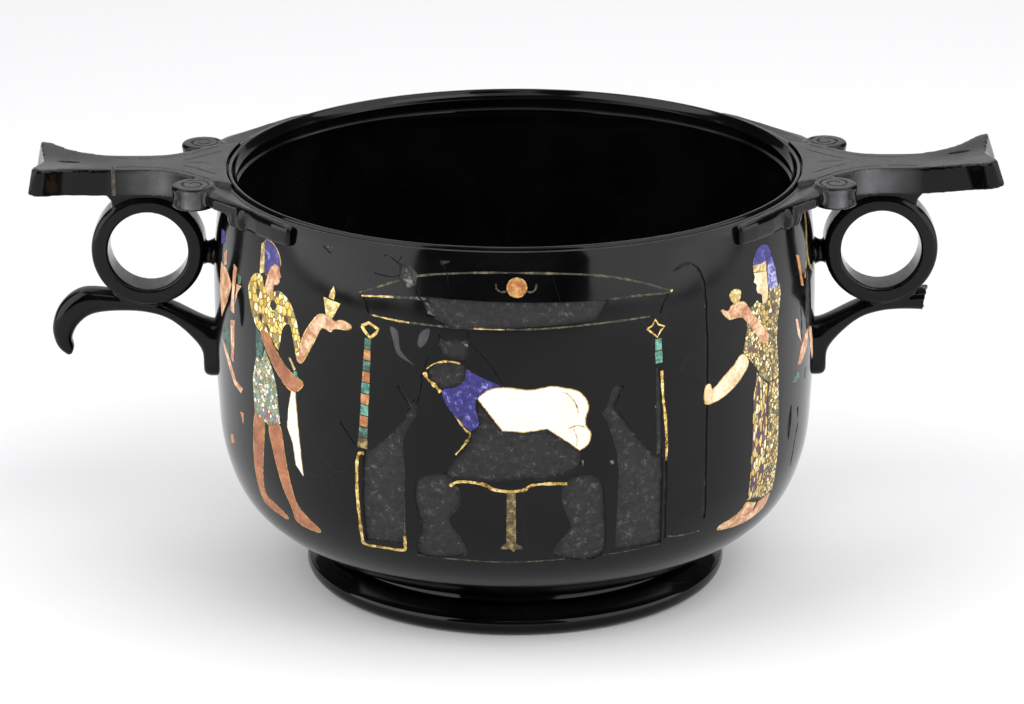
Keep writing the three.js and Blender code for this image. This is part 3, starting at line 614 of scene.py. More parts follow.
def stone(name, stops, cloud_size=120, grain_size=900, roughness=0.5, relief=0.1, distance=0.05,
          metallic=0.0):
    """A stone or metal whose tone follows the clouds through the given stops, with a grainy surface."""
    look, nodes, links, shader = new_look(name)
    cloud = use_group(nodes, clouds, size=cloud_size)
    fine = use_group(nodes, grain, size=grain_size)
    blend = add_node(nodes, "ShaderNodeMath", operation="MULTIPLY_ADD")
    blend.inputs[1].default_value = 0.45
    links.new(fine.outputs["Height"], blend.inputs[0])
    half = add_node(nodes, "ShaderNodeMath", operation="MULTIPLY")
    half.inputs[1].default_value = 0.6
    links.new(cloud.outputs["Amount"], half.inputs[0])
    links.new(half.outputs[0], blend.inputs[2])
    tones = ramp(nodes, stops)
    links.new(blend.outputs[0], tones.inputs["Fac"])
    links.new(tones.outputs["Color"], shader.inputs["Base Color"])
    bump = add_node(nodes, "ShaderNodeBump", Strength=relief, Distance=distance * mm * 10)
    links.new(fine.outputs["Height"], bump.inputs["Height"])
    links.new(bump.outputs["Normal"], shader.inputs["Normal"])
    shader.inputs["Roughness"].default_value = roughness
    shader.inputs["Metallic"].default_value = metallic
    return look


gold = stone("gold_wire", [(0.4, (0.1, 0.055, 0.012)), (0.48, (0.4, 0.25, 0.06)),
                           (0.56, (0.74, 0.52, 0.17)),
                           (0.66, (0.95, 0.8, 0.42))], 620, 1600, 0.36, 0.6, 0.05, metallic=0.9)
lapis = stone("lapis", [(0.38, (0.005, 0.004, 0.04)), (0.5, (0.018, 0.014, 0.14)),
                        (0.6, (0.045, 0.036, 0.25)),
                        (0.7, (0.36, 0.36, 0.6))], 520, 1500, 0.42, 0.2)
pale_lapis = stone("pale_lapis", [(0.38, (0.012, 0.012, 0.13)), (0.5, (0.09, 0.09, 0.32)),
                                  (0.6, (0.45, 0.46, 0.62))], 620, 1500, 0.42, 0.2)
white_stone = stone("white_stone", [(0.3, (0.72, 0.69, 0.6)), (0.6, (0.82, 0.81, 0.76))], 90, 900, 0.5,
                    0.06)
cream_stone = stone("cream_stone", [(0.38, (0.5, 0.3, 0.13)), (0.5, (0.72, 0.55, 0.33)),
                                    (0.62, (0.8, 0.72, 0.55))], 150, 900, 0.45, 0.08)
coral = stone("coral", [(0.38, (0.17, 0.05, 0.016)), (0.5, (0.31, 0.097, 0.034)),
                        (0.64, (0.44, 0.18, 0.075))],
              170, 1100, 0.42, 0.12)
pale_coral = stone("pale_coral", [(0.38, (0.3, 0.1, 0.04)), (0.5, (0.5, 0.24, 0.12)),
                                  (0.64, (0.78, 0.58, 0.38))], 240, 1000, 0.42, 0.1)
green_stone = stone("green_stone", [(0.4, (0.008, 0.024, 0.02)), (0.5, (0.024, 0.065, 0.05)),
                                    (0.58, (0.05, 0.14, 0.11)), (0.68, (0.16, 0.28, 0.2))], 560, 1400,
                    0.48, 0.15)
orange_stone = stone("orange_stone", [(0.38, (0.24, 0.075, 0.02)), (0.5, (0.4, 0.15, 0.045)),
                                      (0.64, (0.62, 0.33, 0.12))], 420, 1100, 0.45, 0.12)
lost_stone = stone("lost_stone", [(0.4, (0.003, 0.003, 0.003)), (0.66, (0.014, 0.013, 0.012))], 300, 1500,
                   0.7, 0.5)
dark_paste = stone("dark_paste", [(0.36, (0.02, 0.015, 0.008)), (0.52, (0.1, 0.07, 0.03)),
                                  (0.64, (0.4, 0.29, 0.1))], 500, 1500, 0.75, 0.4)
open_bed = stone("open_bed", [(0.36, (0.005, 0.005, 0.0053)), (0.5, (0.012, 0.012, 0.0125)),
                              (0.6, (0.02, 0.02, 0.02)), (0.68, (0.11, 0.105, 0.09))], 500, 2300, 0.8, 0.8,
                 0.05)
gold_traces = stone("gold_traces", [(0.4, (0.014, 0.013, 0.011)), (0.52, (0.05, 0.046, 0.034)),
                                    (0.66, (0.24, 0.2, 0.11))], 600, 2000, 0.7, 0.6, 0.05)
old_glue = stone("old_glue", [(0.4, (0.045, 0.038, 0.03)), (0.52, (0.13, 0.115, 0.095)),
                              (0.64, (0.3, 0.275, 0.24))], 350, 1400, 0.8, 0.8, 0.08)
turquoise = stone("turquoise", [(0.4, (0.012, 0.06, 0.045)), (0.5, (0.045, 0.2, 0.15)),
                                (0.64, (0.26, 0.5, 0.4))], 520, 1300, 0.4, 0.15)
aged_gold = stone("aged_gold", [(0.38, (0.16, 0.1, 0.03)), (0.5, (0.5, 0.36, 0.13)),
                                (0.62, (0.85, 0.7, 0.36))], 520, 1500, 0.45, 0.5, 0.05, metallic=0.7)


def mosaic(name, stops, tile, joint, stretch=(1, 1, 1), joint_width=0.07, metallic=0.25, turn=0.0):
    """Tiny tiles of several colours, set between thin joints, with each tile's edge a little rounded."""
    look, nodes, links, shader = new_look(name)
    place = nodes.new("ShaderNodeTexCoord")
    mapping = add_node(nodes, "ShaderNodeMapping", Scale=stretch, Rotation=(0, turn, 0))
    links.new(place.outputs["Object"], mapping.inputs["Vector"])
    tiles = add_node(nodes, "ShaderNodeTexVoronoi", Scale=1000 / tile, Randomness=0.75)
    edges = add_node(nodes, "ShaderNodeTexVoronoi", feature="DISTANCE_TO_EDGE", Scale=1000 / tile,
                     Randomness=0.75)
    links.new(mapping.outputs["Vector"], tiles.inputs["Vector"])
    links.new(mapping.outputs["Vector"], edges.inputs["Vector"])
    pick = nodes.new("ShaderNodeSeparateColor")
    links.new(tiles.outputs["Color"], pick.inputs["Color"])
    tones = ramp(nodes, stops)
    tones.color_ramp.interpolation = "CONSTANT"
    links.new(pick.outputs["Red"], tones.inputs["Fac"])
    gap = add_node(nodes, "ShaderNodeMath", operation="LESS_THAN")
    gap.inputs[1].default_value = joint_width
    links.new(edges.outputs["Distance"], gap.inputs[0])
    laid = add_node(nodes, "ShaderNodeMix", data_type="RGBA")
    links.new(gap.outputs[0], laid.inputs["Factor"])
    links.new(tones.outputs["Color"], laid.inputs["A"])
    laid.inputs["B"].default_value = (*joint, 1)
    links.new(laid.outputs["Result"], shader.inputs["Base Color"])
    bump = add_node(nodes, "ShaderNodeBump", Strength=0.6, Distance=0.25 * mm)
    links.new(edges.outputs["Distance"], bump.inputs["Height"])
    links.new(bump.outputs["Normal"], shader.inputs["Normal"])
    shader.inputs["Roughness"].default_value = 0.4
    shader.inputs["Metallic"].default_value = metallic
    return look


gold_mosaic = mosaic("gold_mosaic", [
    (0.0, (0.8, 0.56, 0.1)), (0.24, (0.92, 0.76, 0.26)), (0.44, (0.96, 0.92, 0.56)),
                                     (0.6, (0.45, 0.27, 0.05)),
    (0.74, (0.28, 0.28, 0.16)), (0.82, (0.72, 0.5, 0.12)), (0.93, (0.05, 0.035, 0.015)),
], 1.6, (0.2, 0.12, 0.025), (1, 1, 0.7), 0.08, 0.35)
kilt_mosaic = mosaic("kilt_mosaic", [
    (0.0, (0.8, 0.8, 0.66)), (0.2, (0.13, 0.25, 0.17)), (0.38, (0.36, 0.33, 0.14)),
                                     (0.54, (0.24, 0.36, 0.27)),
    (0.7, (0.62, 0.62, 0.5)), (0.8, (0.33, 0.1, 0.08)), (0.88, (0.2, 0.15, 0.3)), (0.94, (0.5, 0.4, 0.16)),
], 1.05, (0.12, 0.1, 0.04), (1, 1, 0.85), 0.07, 0.1, 0.5)
dress_mosaic = mosaic("dress_mosaic", [
    (0.0, (0.6, 0.42, 0.1)), (0.22, (0.13, 0.1, 0.04)), (0.36, (0.8, 0.66, 0.3)), (0.54, (0.2, 0.22, 0.12)),
    (0.66, (0.46, 0.33, 0.1)), (0.78, (0.9, 0.82, 0.5)), (0.92, (0.16, 0.06, 0.06)),
], 1.15, (0.05, 0.03, 0.012), (1, 1, 0.8), 0.09, 0.2, 0.4)
striped_cloth = mosaic("striped_cloth", [
    (0.0, (0.62, 0.42, 0.1)), (0.26, (0.07, 0.025, 0.07)), (0.5, (0.76, 0.6, 0.25)),
                                         (0.7, (0.13, 0.05, 0.09)),
    (0.84, (0.84, 0.74, 0.42)),
], 0.95, (0.06, 0.03, 0.012), (1, 1, 0.32), 0.08, 0.2, 0.42)

# Rubbing: where hands wore the polish off, on faces that look up outside the mouth, in patches.
# The group also gives a painted highlight: a mask of the handle plates' sides that face the front.
rubbing_and_painted_sheen, nodes, links, entry, leave, place = group_of(
    "rubbed_faces_and_painted_sheen", {"Inner reach": 0.084, "Slope": 0.72},
    {"Rubbed": "NodeSocketFloat", "Painted lit sides": "NodeSocketFloat"})
facing = nodes.new("ShaderNodeSeparateXYZ")
links.new(place.outputs["Normal"], facing.inputs[0])
upward = add_node(nodes, "ShaderNodeMapRange", **{"From Max": 0.98})
links.new(facing.outputs["Z"], upward.inputs["Value"])
links.new(entry.outputs["Slope"], upward.inputs["From Min"])
flat = add_node(nodes, "ShaderNodeVectorMath", operation="MULTIPLY")
flat.inputs[1].default_value = (1, 1, 0)
links.new(place.outputs["Object"], flat.inputs[0])
reach = add_node(nodes, "ShaderNodeVectorMath", operation="LENGTH")
links.new(flat.outputs["Vector"], reach.inputs[0])
outside = add_node(nodes, "ShaderNodeMath", operation="GREATER_THAN")
links.new(reach.outputs["Value"], outside.inputs[0])
links.new(entry.outputs["Inner reach"], outside.inputs[1])
patches = add_node(nodes, "ShaderNodeTexNoise", Scale=70, Detail=5, Roughness=0.6)
links.new(place.outputs["Object"], patches.inputs["Vector"])
patchy = add_node(nodes, "ShaderNodeMapRange", **{"From Min": 0.3, "From Max": 0.66, "To Min": 0.25})
links.new(patches.outputs["Fac"], patchy.inputs["Value"])
both = add_node(nodes, "ShaderNodeMath", operation="MULTIPLY")
links.new(upward.outputs["Result"], both.inputs[0])
links.new(outside.outputs[0], both.inputs[1])
rubbed = add_node(nodes, "ShaderNodeMath", operation="MULTIPLY")
links.new(both.outputs[0], rubbed.inputs[0])
links.new(patchy.outputs["Result"], rubbed.inputs[1])
links.new(rubbed.outputs[0], leave.inputs["Rubbed"])
# Painted highlight: faces that point to the front, on the handle plates between the rim and the waist, are
# masked to be painted grey.
painted_sheen_facing = add_node(nodes, "ShaderNodeMapRange", **{"From Min": -0.8, "From Max": -0.97})
links.new(facing.outputs["Y"], painted_sheen_facing.inputs["Value"])
from_axis = add_node(nodes, "ShaderNodeMapRange", **{"From Min": 0.0945, "From Max": 0.097})
links.new(reach.outputs["Value"], from_axis.inputs["Value"])
to_waist = add_node(nodes, "ShaderNodeMapRange", **{"From Min": 0.126, "From Max": 0.104})
links.new(reach.outputs["Value"], to_waist.inputs["Value"])
level = nodes.new("ShaderNodeSeparateXYZ")
links.new(place.outputs["Object"], level.inputs[0])
on_plate = add_node(nodes, "ShaderNodeMapRange", **{"From Min": 0.122, "From Max": 0.1245})
links.new(level.outputs["Z"], on_plate.inputs["Value"])
# The painted highlight mask, limited to the handle plates and broken into patches.
side = painted_sheen_facing.outputs["Result"]
for factor in (from_axis, to_waist, on_plate, patchy):
    product = add_node(nodes, "ShaderNodeMath", operation="MULTIPLY")
    links.new(side, product.inputs[0])
    links.new(factor.outputs["Result"], product.inputs[1])
    side = product.outputs[0]
links.new(side, leave.inputs["Painted lit sides"])

# Hair scratches: long straight marks that come and go.
scratching, nodes, links, entry, leave, place = group_of(
    "hair_scratches", {"Size": 34, "Width": 0.002}, {"Mark": "NodeSocketFloat"})
lines = add_node(nodes, "ShaderNodeTexVoronoi", feature="DISTANCE_TO_EDGE", Randomness=1.0)
links.new(place.outputs["Object"], lines.inputs["Vector"])
links.new(entry.outputs["Size"], lines.inputs["Scale"])
thin = add_node(nodes, "ShaderNodeMath", operation="LESS_THAN")
links.new(lines.outputs["Distance"], thin.inputs[0])
links.new(entry.outputs["Width"], thin.inputs[1])
where = add_node(nodes, "ShaderNodeTexNoise", Scale=26, Detail=2)
links.new(place.outputs["Object"], where.inputs["Vector"])
shown = add_node(nodes, "ShaderNodeMapRange", **{"From Min": 0.53, "From Max": 0.7, "To Max": 0.2})
links.new(where.outputs["Fac"], shown.inputs["Value"])
mark = add_node(nodes, "ShaderNodeMath", operation="MULTIPLY")
links.new(thin.outputs[0], mark.inputs[0])
links.new(shown.outputs["Result"], mark.inputs[1])
links.new(mark.outputs[0], leave.inputs["Mark"])

# Obsidian: black volcanic glass, polished by hand. Its black and its polish change slowly, scratches and
# pale specks lie on it, and the tops of the lip and the handles are rubbed grey and dull. The handle
# plates' sides that face the front are painted light grey, a painted highlight.
obsidian, nodes, links, shader = new_look("polished_obsidian")
cloud = use_group(nodes, clouds, size=34)
rub_and_painted_sheen = use_group(nodes, rubbing_and_painted_sheen)
scratch = use_group(nodes, scratching)
dust = use_group(nodes, grain, size=1500, specks=0.735)
black = ramp(nodes, [(0.35, (0.001, 0.001, 0.0012)), (0.65, (0.003, 0.003, 0.0034))])
links.new(cloud.outputs["Amount"], black.inputs["Fac"])
worn = add_node(nodes, "ShaderNodeMix", data_type="RGBA")
links.new(rub_and_painted_sheen.outputs["Rubbed"], worn.inputs["Factor"])
links.new(black.outputs["Color"], worn.inputs["A"])
worn.inputs["B"].default_value = (0.035, 0.034, 0.033, 1)
# Painted highlight: the handle plates' front-facing sides are painted light grey.
painted_sheen_mix = add_node(nodes, "ShaderNodeMix", data_type="RGBA")
links.new(rub_and_painted_sheen.outputs["Painted lit sides"], painted_sheen_mix.inputs["Factor"])
links.new(worn.outputs["Result"], painted_sheen_mix.inputs["A"])
painted_sheen_mix.inputs["B"].default_value = (0.17, 0.168, 0.175, 1)
marks = add_node(nodes, "ShaderNodeMath", operation="MAXIMUM")
links.new(scratch.outputs["Mark"], marks.inputs[0])
links.new(dust.outputs["Speckle"], marks.inputs[1])
marked = add_node(nodes, "ShaderNodeMix", data_type="RGBA")
links.new(marks.outputs[0], marked.inputs["Factor"])
links.new(painted_sheen_mix.outputs["Result"], marked.inputs["A"])
marked.inputs["B"].default_value = (0.055, 0.055, 0.055, 1)
links.new(marked.outputs["Result"], shader.inputs["Base Color"])
polish = add_node(nodes, "ShaderNodeMapRange", **{"From Min": 0.35, "From Max": 0.7, "To Min": 0.06,
                                                  "To Max": 0.16})
links.new(cloud.outputs["Amount"], polish.inputs["Value"])
dull = add_node(nodes, "ShaderNodeMath", operation="MULTIPLY_ADD")
dull.inputs[1].default_value = 0.25
links.new(rub_and_painted_sheen.outputs["Rubbed"], dull.inputs[0])
links.new(polish.outputs["Result"], dull.inputs[2])
links.new(dull.outputs[0], shader.inputs["Roughness"])
waves = add_node(nodes, "ShaderNodeBump", Strength=0.5, Distance=0.12 * mm)
links.new(cloud.outputs["Amount"], waves.inputs["Height"])
links.new(waves.outputs["Normal"], shader.inputs["Normal"])
shader.inputs["IOR"].default_value = 1.29
dull_glass = stone("dull_glass", [(0.36, (0.015, 0.015, 0.016)), (0.64, (0.05, 0.05, 0.054))], 200, 1100,
                   0.4, 0.3)
broken_glass = stone("broken_glass", [(0.36, (0.006, 0.006, 0.006)), (0.56, (0.03, 0.029, 0.027)),
                                      (0.68, (0.25, 0.23, 0.2))], 300, 1300, 0.35, 0.9, 0.08)

bowl.data.materials.append(obsidian)

# Cells: shallow beds cut in the polished skin to take the inlays. Most of the shrine has lost its stones,
# so their rough grey beds lie open, and hand-cut grooves draw the roof, the floor line and a tall staff.
shrine_at = 0
left_figure_at = -50
right_figure_at = 54
far_left_at = -72
far_right_at = 72
back_shrine_at = 180


def strip(run, width, waver=0.0):
    """The outline of a line drawn along a run of points, its width a little uneven if it wavers."""
    left, right = [], []
    for i, here in enumerate(run):
        before, after = Vector(run[max(i - 1, 0)]), Vector(run[min(i + 1, len(run) - 1)])
        along = (after - before).normalized()
        side = Vector((-along.y, along.x))
        half = 0.5 * width * (1 + waver * noise.noise(Vector((here[0] * 0.7, here[1] * 0.7, width))))
        left.append(tuple(Vector(here) + side * half))
        right.append(tuple(Vector(here) - side * half))
    return left + right[::-1]


def drawn(run, width, waver=0.8, steps=5):
    return strip(curve_through(run, steps), width, waver)


def rounded(outline, steps=4):
    return curve_through(outline, steps, closed=True)


def disc(x, y, radius, sides=28):
    return arc((x, y), (radius, radius), 0, 360 * (sides - 1) / sides, sides - 1)


def prism(name, outlines, azimuth):
    """Outlines drawn across and up in millimetres on the tangent plane, pushed square through the wall."""
    a = math.radians(azimuth)
    across = Vector((math.cos(a), math.sin(a), 0))
    outward = Vector((math.sin(a), -math.cos(a), 0))
    mesh = bpy.data.meshes.new(name)
    corners, faces = [], []
    for outline in outlines:
        faces.append(list(range(len(corners), len(corners) + len(outline))))
        corners += [(across * x + Vector((0, 0, y)) + outward * 36) * mm for x, y in outline]
    mesh.from_pydata(corners, [], faces)
    piece = bpy.data.objects.new(name, mesh)
    bpy.context.collection.objects.link(piece)
    choose(piece)
    bpy.ops.object.mode_set(mode="EDIT")
    bpy.ops.mesh.select_all(action="SELECT")
    bpy.ops.mesh.extrude_region_move(TRANSFORM_OT_translate={"value": outward * 76 * mm})
    bpy.ops.mesh.select_all(action="SELECT")
    bpy.ops.mesh.normals_make_consistent(inside=False)
    bpy.ops.object.mode_set(mode="OBJECT")
    return piece


def wall_skin(azimuth, half_span, low, high, depth, proud):
    """The wall's skin between two depths, over a span of azimuth and height."""
    step = 360 / turn_steps
    run = [p for p in wall if low < p[1] < high]
    profile = moved_in(run, -proud) + moved_in(run, depth)[::-1]
    first = round((azimuth - 90 - half_span) / step)
    count = round(2 * half_span / step)
    return turned("wall_skin", profile, steps=count, start=first * step, angle=count * step, closed=True)


def bed(name, outlines, azimuth, depth, half_span=38, crossing=False, look=open_bed):
    """Prisms that reach only a little way into the wall, ready to be cut from the bowl."""
    piece = prism(name, outlines, azimuth)
    cut(piece, wall_skin(azimuth, half_span, 18, 129.5, depth, 1.2), "INTERSECT", overlapping=crossing)
    piece.data.materials.clear()
    piece.data.materials.append(look)
    return piece


roof_band = [(-26.2, 116.2), (-10, 115.8), (8, 115.4), (27.5, 115), (26.2, 112.4), (24, 109.4), (10, 108.4),
             (-4, 107.9), (-14, 107.4), (-18.9, 107.2), (-23, 110.2)]
attendants = [
    [(-29.7, 85), (-28.9, 82.4), (-29.1, 79.8), (-31.6, 75.4), (-33.1, 71.5), (-32.6, 59.5), (-33.2, 36.9),
     (-44.7, 36), (-45.7, 50), (-45.1, 65.7), (-41.5, 68.3), (-36, 74.2), (-33.2, 77.8), (-31.8, 80.4)],
    [(25.5, 80.5), (26.9, 82.2), (28.6, 87.9), (30.1, 88.9), (32.1, 88.4), (30.6, 84.7), (29.3, 82.4),
     (34.9, 73.8), (41.2, 65.2), (43.8, 64), (43.6, 35.2), (29.7, 35.1), (30.6, 62.2), (29.9, 68.4),
     (27.2, 77.6)],
]
kneeling = [
    [(-29, 59.3), (-22.2, 61.9), (-17.2, 58.8), (-16.3, 52.4), (-19.6, 47.2), (-15.8, 40.7), (-15.3, 34.7),
     (-29, 33.9), (-28, 42.9), (-30, 52.7)],
    [(14.1, 58.9), (19.7, 61.4), (25.3, 59.6), (26.6, 51.3), (25.8, 33.8), (12.1, 34.4), (12.3, 39.1),
     (16.5, 45), (14.1, 52.4)],
]
calf_head = [(-26.4, 93.4), (-24, 95.8), (-20.5, 97), (-16.4, 96.8), (-14.3, 95.4), (-14.3, 92.4),
             (-18.5, 88.9), (-22, 87.8), (-25, 90)]
crown = [(-22.2, 105.4), (-20.4, 103.4), (-17.6, 104.6), (-15.4, 103.6), (-13.4, 106), (-14, 98.9),
         (-18, 98.2), (-21.9, 99.6)]
mount = [(-14.5, 70.1), (-12, 75.8), (-10.6, 79), (-11.4, 82.5), (-10.8, 85.2), (-3.9, 76.6), (9.6, 76.5),
         (16.4, 71.4),
         (20, 69), (19.6, 66), (18.5, 63.4), (7.6, 60.2), (4.6, 61.5), (-6.3, 60.2), (-19.2, 60.9),
         (-21.3, 62), (-18.4, 66)]
beds = [bed("roof_bed", [roof_band], shrine_at, 0.55)]
beds.append(bed("scene_beds", [*attendants, *map(rounded, kneeling), rounded(calf_head), rounded(crown),
                               mount],
                shrine_at, 0.75))
line_traces = [
    drawn([(-46, 114.8), (-30.6, 121.4), (-18, 123.6), (-4, 124.3), (12, 123.8), (24.8, 122.4), (36, 119.4),
           (45.8, 115.3)], 0.6),
    drawn([(-45.4, 114), (-34, 115.2), (-24.7, 115.6)], 0.8),
    drawn([(27.6, 115.2), (38, 115.2), (45.4, 114.6)], 0.55),
    drawn([(-42.5, 108.9), (-34, 108.2), (-24, 107.8), (-14, 107.6), (-4.1, 107.5), (8, 107.6),
           (22.8, 108.2),
           (31, 108.4), (39.6, 108.6)], 0.55),
    drawn([(-5.5, 120.9), (-5.2, 119.4), (-3.8, 118.6), (-2.4, 118.9)], 0.5, steps=3),
    drawn([(3.4, 118.8), (4.8, 118.6), (6, 119.4), (6.3, 120.9)], 0.5, steps=3),
    drawn([(-30, 33.6), (-15, 33.2), (0, 33), (14, 33.6), (30, 34), (43.4, 34.8)], 0.45),
    drawn([(45.6, 37), (48, 36.4), (52, 36), (55.4, 36)], 0.6),
    drawn([(-32.9, 39.6), (-33, 50), (-33.1, 60.4)], 0.45),
    drawn([(-12.6, 62.1), (-4, 62.2), (4, 62.1), (12, 62.2)], 0.35),
]
beds.append(bed("line_traces", line_traces, shrine_at, 0.14, 45, True, gold_traces))
grooves = [
    drawn([(-43, 109), (-43.4, 111.4), (-44.4, 113.8)], 0.5),
    drawn([(42.6, 109), (43.6, 112), (44.8, 114.6)], 0.6),
    drawn([(44.8, 62.6), (44.7, 50), (44.6, 38.4), (45, 36.8)], 0.75),
    drawn([(-34.4, 88.4), (-32.8, 85.6), (-31, 82.6)], 0.9, steps=3),
    drawn([(-38.4, 66), (-36.6, 62.2), (-38.2, 59)], 0.9, steps=3),
    drawn([(-40.4, 55), (-38.4, 57), (-36.8, 58)], 0.9, steps=3),
    drawn([(32.6, 60), (33.4, 54), (32.8, 48), (33.8, 44)], 0.5),
]
beds.append(bed("shrine_grooves", grooves, shrine_at, 0.55, half_span=45, crossing=True))
beds.append(bed("side_strip_bed", [[(41.5, 92.6), (42.6, 92.4), (43, 84), (43.5, 74), (43.5, 65),
                                    (41.9, 65),
                                    (41.8, 78)]], shrine_at, 0.35, half_span=45))
staff_run = [(46.4, 120.8), (49.7, 122.2), (53, 120.9), (55.4, 116.5), (56.4, 107.3), (56.8, 90),
             (56.9, 70),
             (56.8, 50), (56.6, 40.2)]
far_right_beds = [
    [(2, 104), (6, 103), (8, 94), (9.6, 84.6), (1.4, 86), (0, 95)],
    [(-13.4, 60), (-11.4, 66), (-10.4, 60), (-11.6, 54)],
]
beds.append(bed("staff_groove", [drawn(staff_run, 0.9)], shrine_at, 0.6, half_span=45))
beds.append(bed("side_beds", [rounded(outline, 3) for outline in far_right_beds], far_right_at, 0.6))
beds.append(bed("back_beds", [roof_band, *map(rounded, kneeling)], back_shrine_at, 0.6))

# Cracks and chips: the bowl is mended from pieces, so hairline joins run down from the mouth and the
# lip has lost flakes, which break as smooth shells.
crack_runs = [
    [(-37.5, 129.2), (-36.8, 127.6), (-34.3, 125.4), (-30.8, 123.7), (-29.4, 120.2), (-28, 116),
     (-24.5, 111.9),
     (-21.7, 108.9), (-19.6, 106.4)],
    [(-23.8, 129.2), (-21, 126.1), (-19.6, 122.5), (-19.3, 118)],
    [(-32.4, 128.4), (-33.4, 126.6), (-34.3, 125.4)],
    [(-41, 121.4), (-36, 121), (-31.4, 122.6)],
    [(-13.7, 103.2), (-8.5, 98.3), (-3.6, 90.9)],
    [(-25.2, 98.7), (-27.2, 92.7), (-27.5, 89), (-28.9, 82.3)],
    [(-52, 74), (-49.6, 70.4), (-47.4, 67.4)],
]
flakes = [
    [(-33.6, 124.6), (-30.6, 125), (-28.4, 122.8), (-28.9, 119.2), (-31.4, 118.2), (-33.8, 120.8)],
    [(-26.6, 115), (-23.6, 113.4), (-22.4, 110.4), (-25.6, 111.2)],
    [(-22.8, 129.2), (-18.6, 129.2), (-19, 126.8), (-21.4, 125.8)],
    [(-39.2, 129), (-34.8, 129.2), (-35.6, 127), (-38, 126.6)],
    [(-56.6, 126.4), (-53.2, 127.2), (-54.2, 124.6)],
]
flake_scars = [
    [(-36.8, 106.1), (-34.3, 105), (-33.5, 99.3), (-29.4, 95), (-31.5, 95.9), (-34.7, 98), (-36.1, 102.6)],
    [(-27.7, 105.4), (-24.9, 106.8), (-25.6, 103.1), (-27.7, 100.7), (-28.7, 102)],
]
beds.append(bed("flakes", flakes, shrine_at, 0.4, half_span=45, look=broken_glass))
beds.append(bed("flake_scars", [rounded(outline, 3) for outline in flake_scars], shrine_at, 0.2,
                look=dull_glass))
beds.append(bed("cracks", [drawn(run, 0.34, waver=1.6, steps=6) for run in crack_runs], shrine_at, 0.45,
                crossing=True))
side_cracks = [
    [(10.2, 97), (11.8, 92), (12.6, 84), (10.6, 77)],
    [(11, 63), (12.4, 57), (10.2, 51), (9.4, 44)],
]
beds.append(bed("right_cracks", [drawn(run, 0.8, waver=1.8, steps=6) for run in side_cracks], 62, 0.6))
for piece in beds:
    cut(bowl, piece)

right_handle = handle(right_lift, False)
left_handle = mirrored(handle(left_lift, True), (1, 0, 0))
bowl = joined([bowl, right_handle, left_handle])
bpy.ops.object.shade_smooth_by_angle(angle=math.radians(38))
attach(bowl, "root")
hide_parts("cup")


# Inlays: coloured stones and gold wire, each ground flush in its own bed. Gold wire edges lie under the
# stones of one figure and show as a thin line around them.
def inlay(name, outlines, azimuth, look, nodes=(), proud=0.05, crossing=False):
    """Flat outlines turned into one flush piece in the wall's skin."""
    across = [abs(x) for outline in outlines for x, y in outline]
    heights = [y for outline in outlines for x, y in outline]
    half_span = math.degrees(math.asin(min(0.98, max(across) / 84))) + 4
    piece = prism(name, outlines, azimuth)
    skin = wall_skin(azimuth, half_span, min(heights) - 7, max(heights) + 7, 1.1, proud)
    cut(piece, skin, "INTERSECT", overlapping=crossing)
    piece.data.materials.clear()
    piece.data.materials.append(look)
    choose(piece)
    bpy.ops.object.shade_smooth_by_angle(angle=math.radians(30))
    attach(piece, "root")
    if nodes:
        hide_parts(*nodes)


def grown(outline, distance):
    """An outline moved outward, or inward by a negative distance."""
    area = sum(a[0] * b[1] - b[0] * a[1] for a, b in zip(outline, outline[1:] + outline[:1]))
    side = math.copysign(distance, area)
    moved = []
    for i, here in enumerate(outline):
        before, after = Vector(outline[i - 1]), Vector(outline[(i + 1) % len(outline)])
        along = (after - before).normalized()
        moved.append((here[0] + along.y * side, here[1] - along.x * side))
    return moved


# Shrine: the sun disc, two lotus capitals, a column of green and orange beads, a plain green one, and
# gold wire that frames the attendants' beds.
inlay("sun_disc_stone", [disc(0.6, 119.9, 2.75)], shrine_at, orange_stone, ["sun_disc"],
      0.09)
inlay("sun_disc_edge", [disc(0.6, 119.9, 3)], shrine_at, gold)
left_lotus = [(-45, 105.1), (-42.9, 106.4), (-40, 104.8), (-41, 103.3), (-42.5, 101.9), (-44, 103.4),
              (-45, 105.1)]
right_lotus = [(38.7, 104.9), (40.4, 105.8), (41.2, 107.4), (42.1, 105.8), (44, 104.9), (42.8, 103.8),
               (41.9, 102), (40, 103.8), (38.7, 104.9)]
inlay("left_lotus", [strip(left_lotus, 0.95)], shrine_at, gold, ["left_capital"], crossing=True)
inlay("right_lotus", [strip(right_lotus, 0.5)], shrine_at, gold, ["right_capital"], crossing=True)


def beads_along(top, bottom, count, top_width, bottom_width):
    found = []
    for k in range(count):
        ends = [Vector(top).lerp(Vector(bottom), (k + share) / count) for share in (0.04, 0.96)]
        width = top_width + (bottom_width - top_width) * k / count
        found.append(strip([tuple(ends[0]), tuple(ends[1])], width, 0.25))
    return found


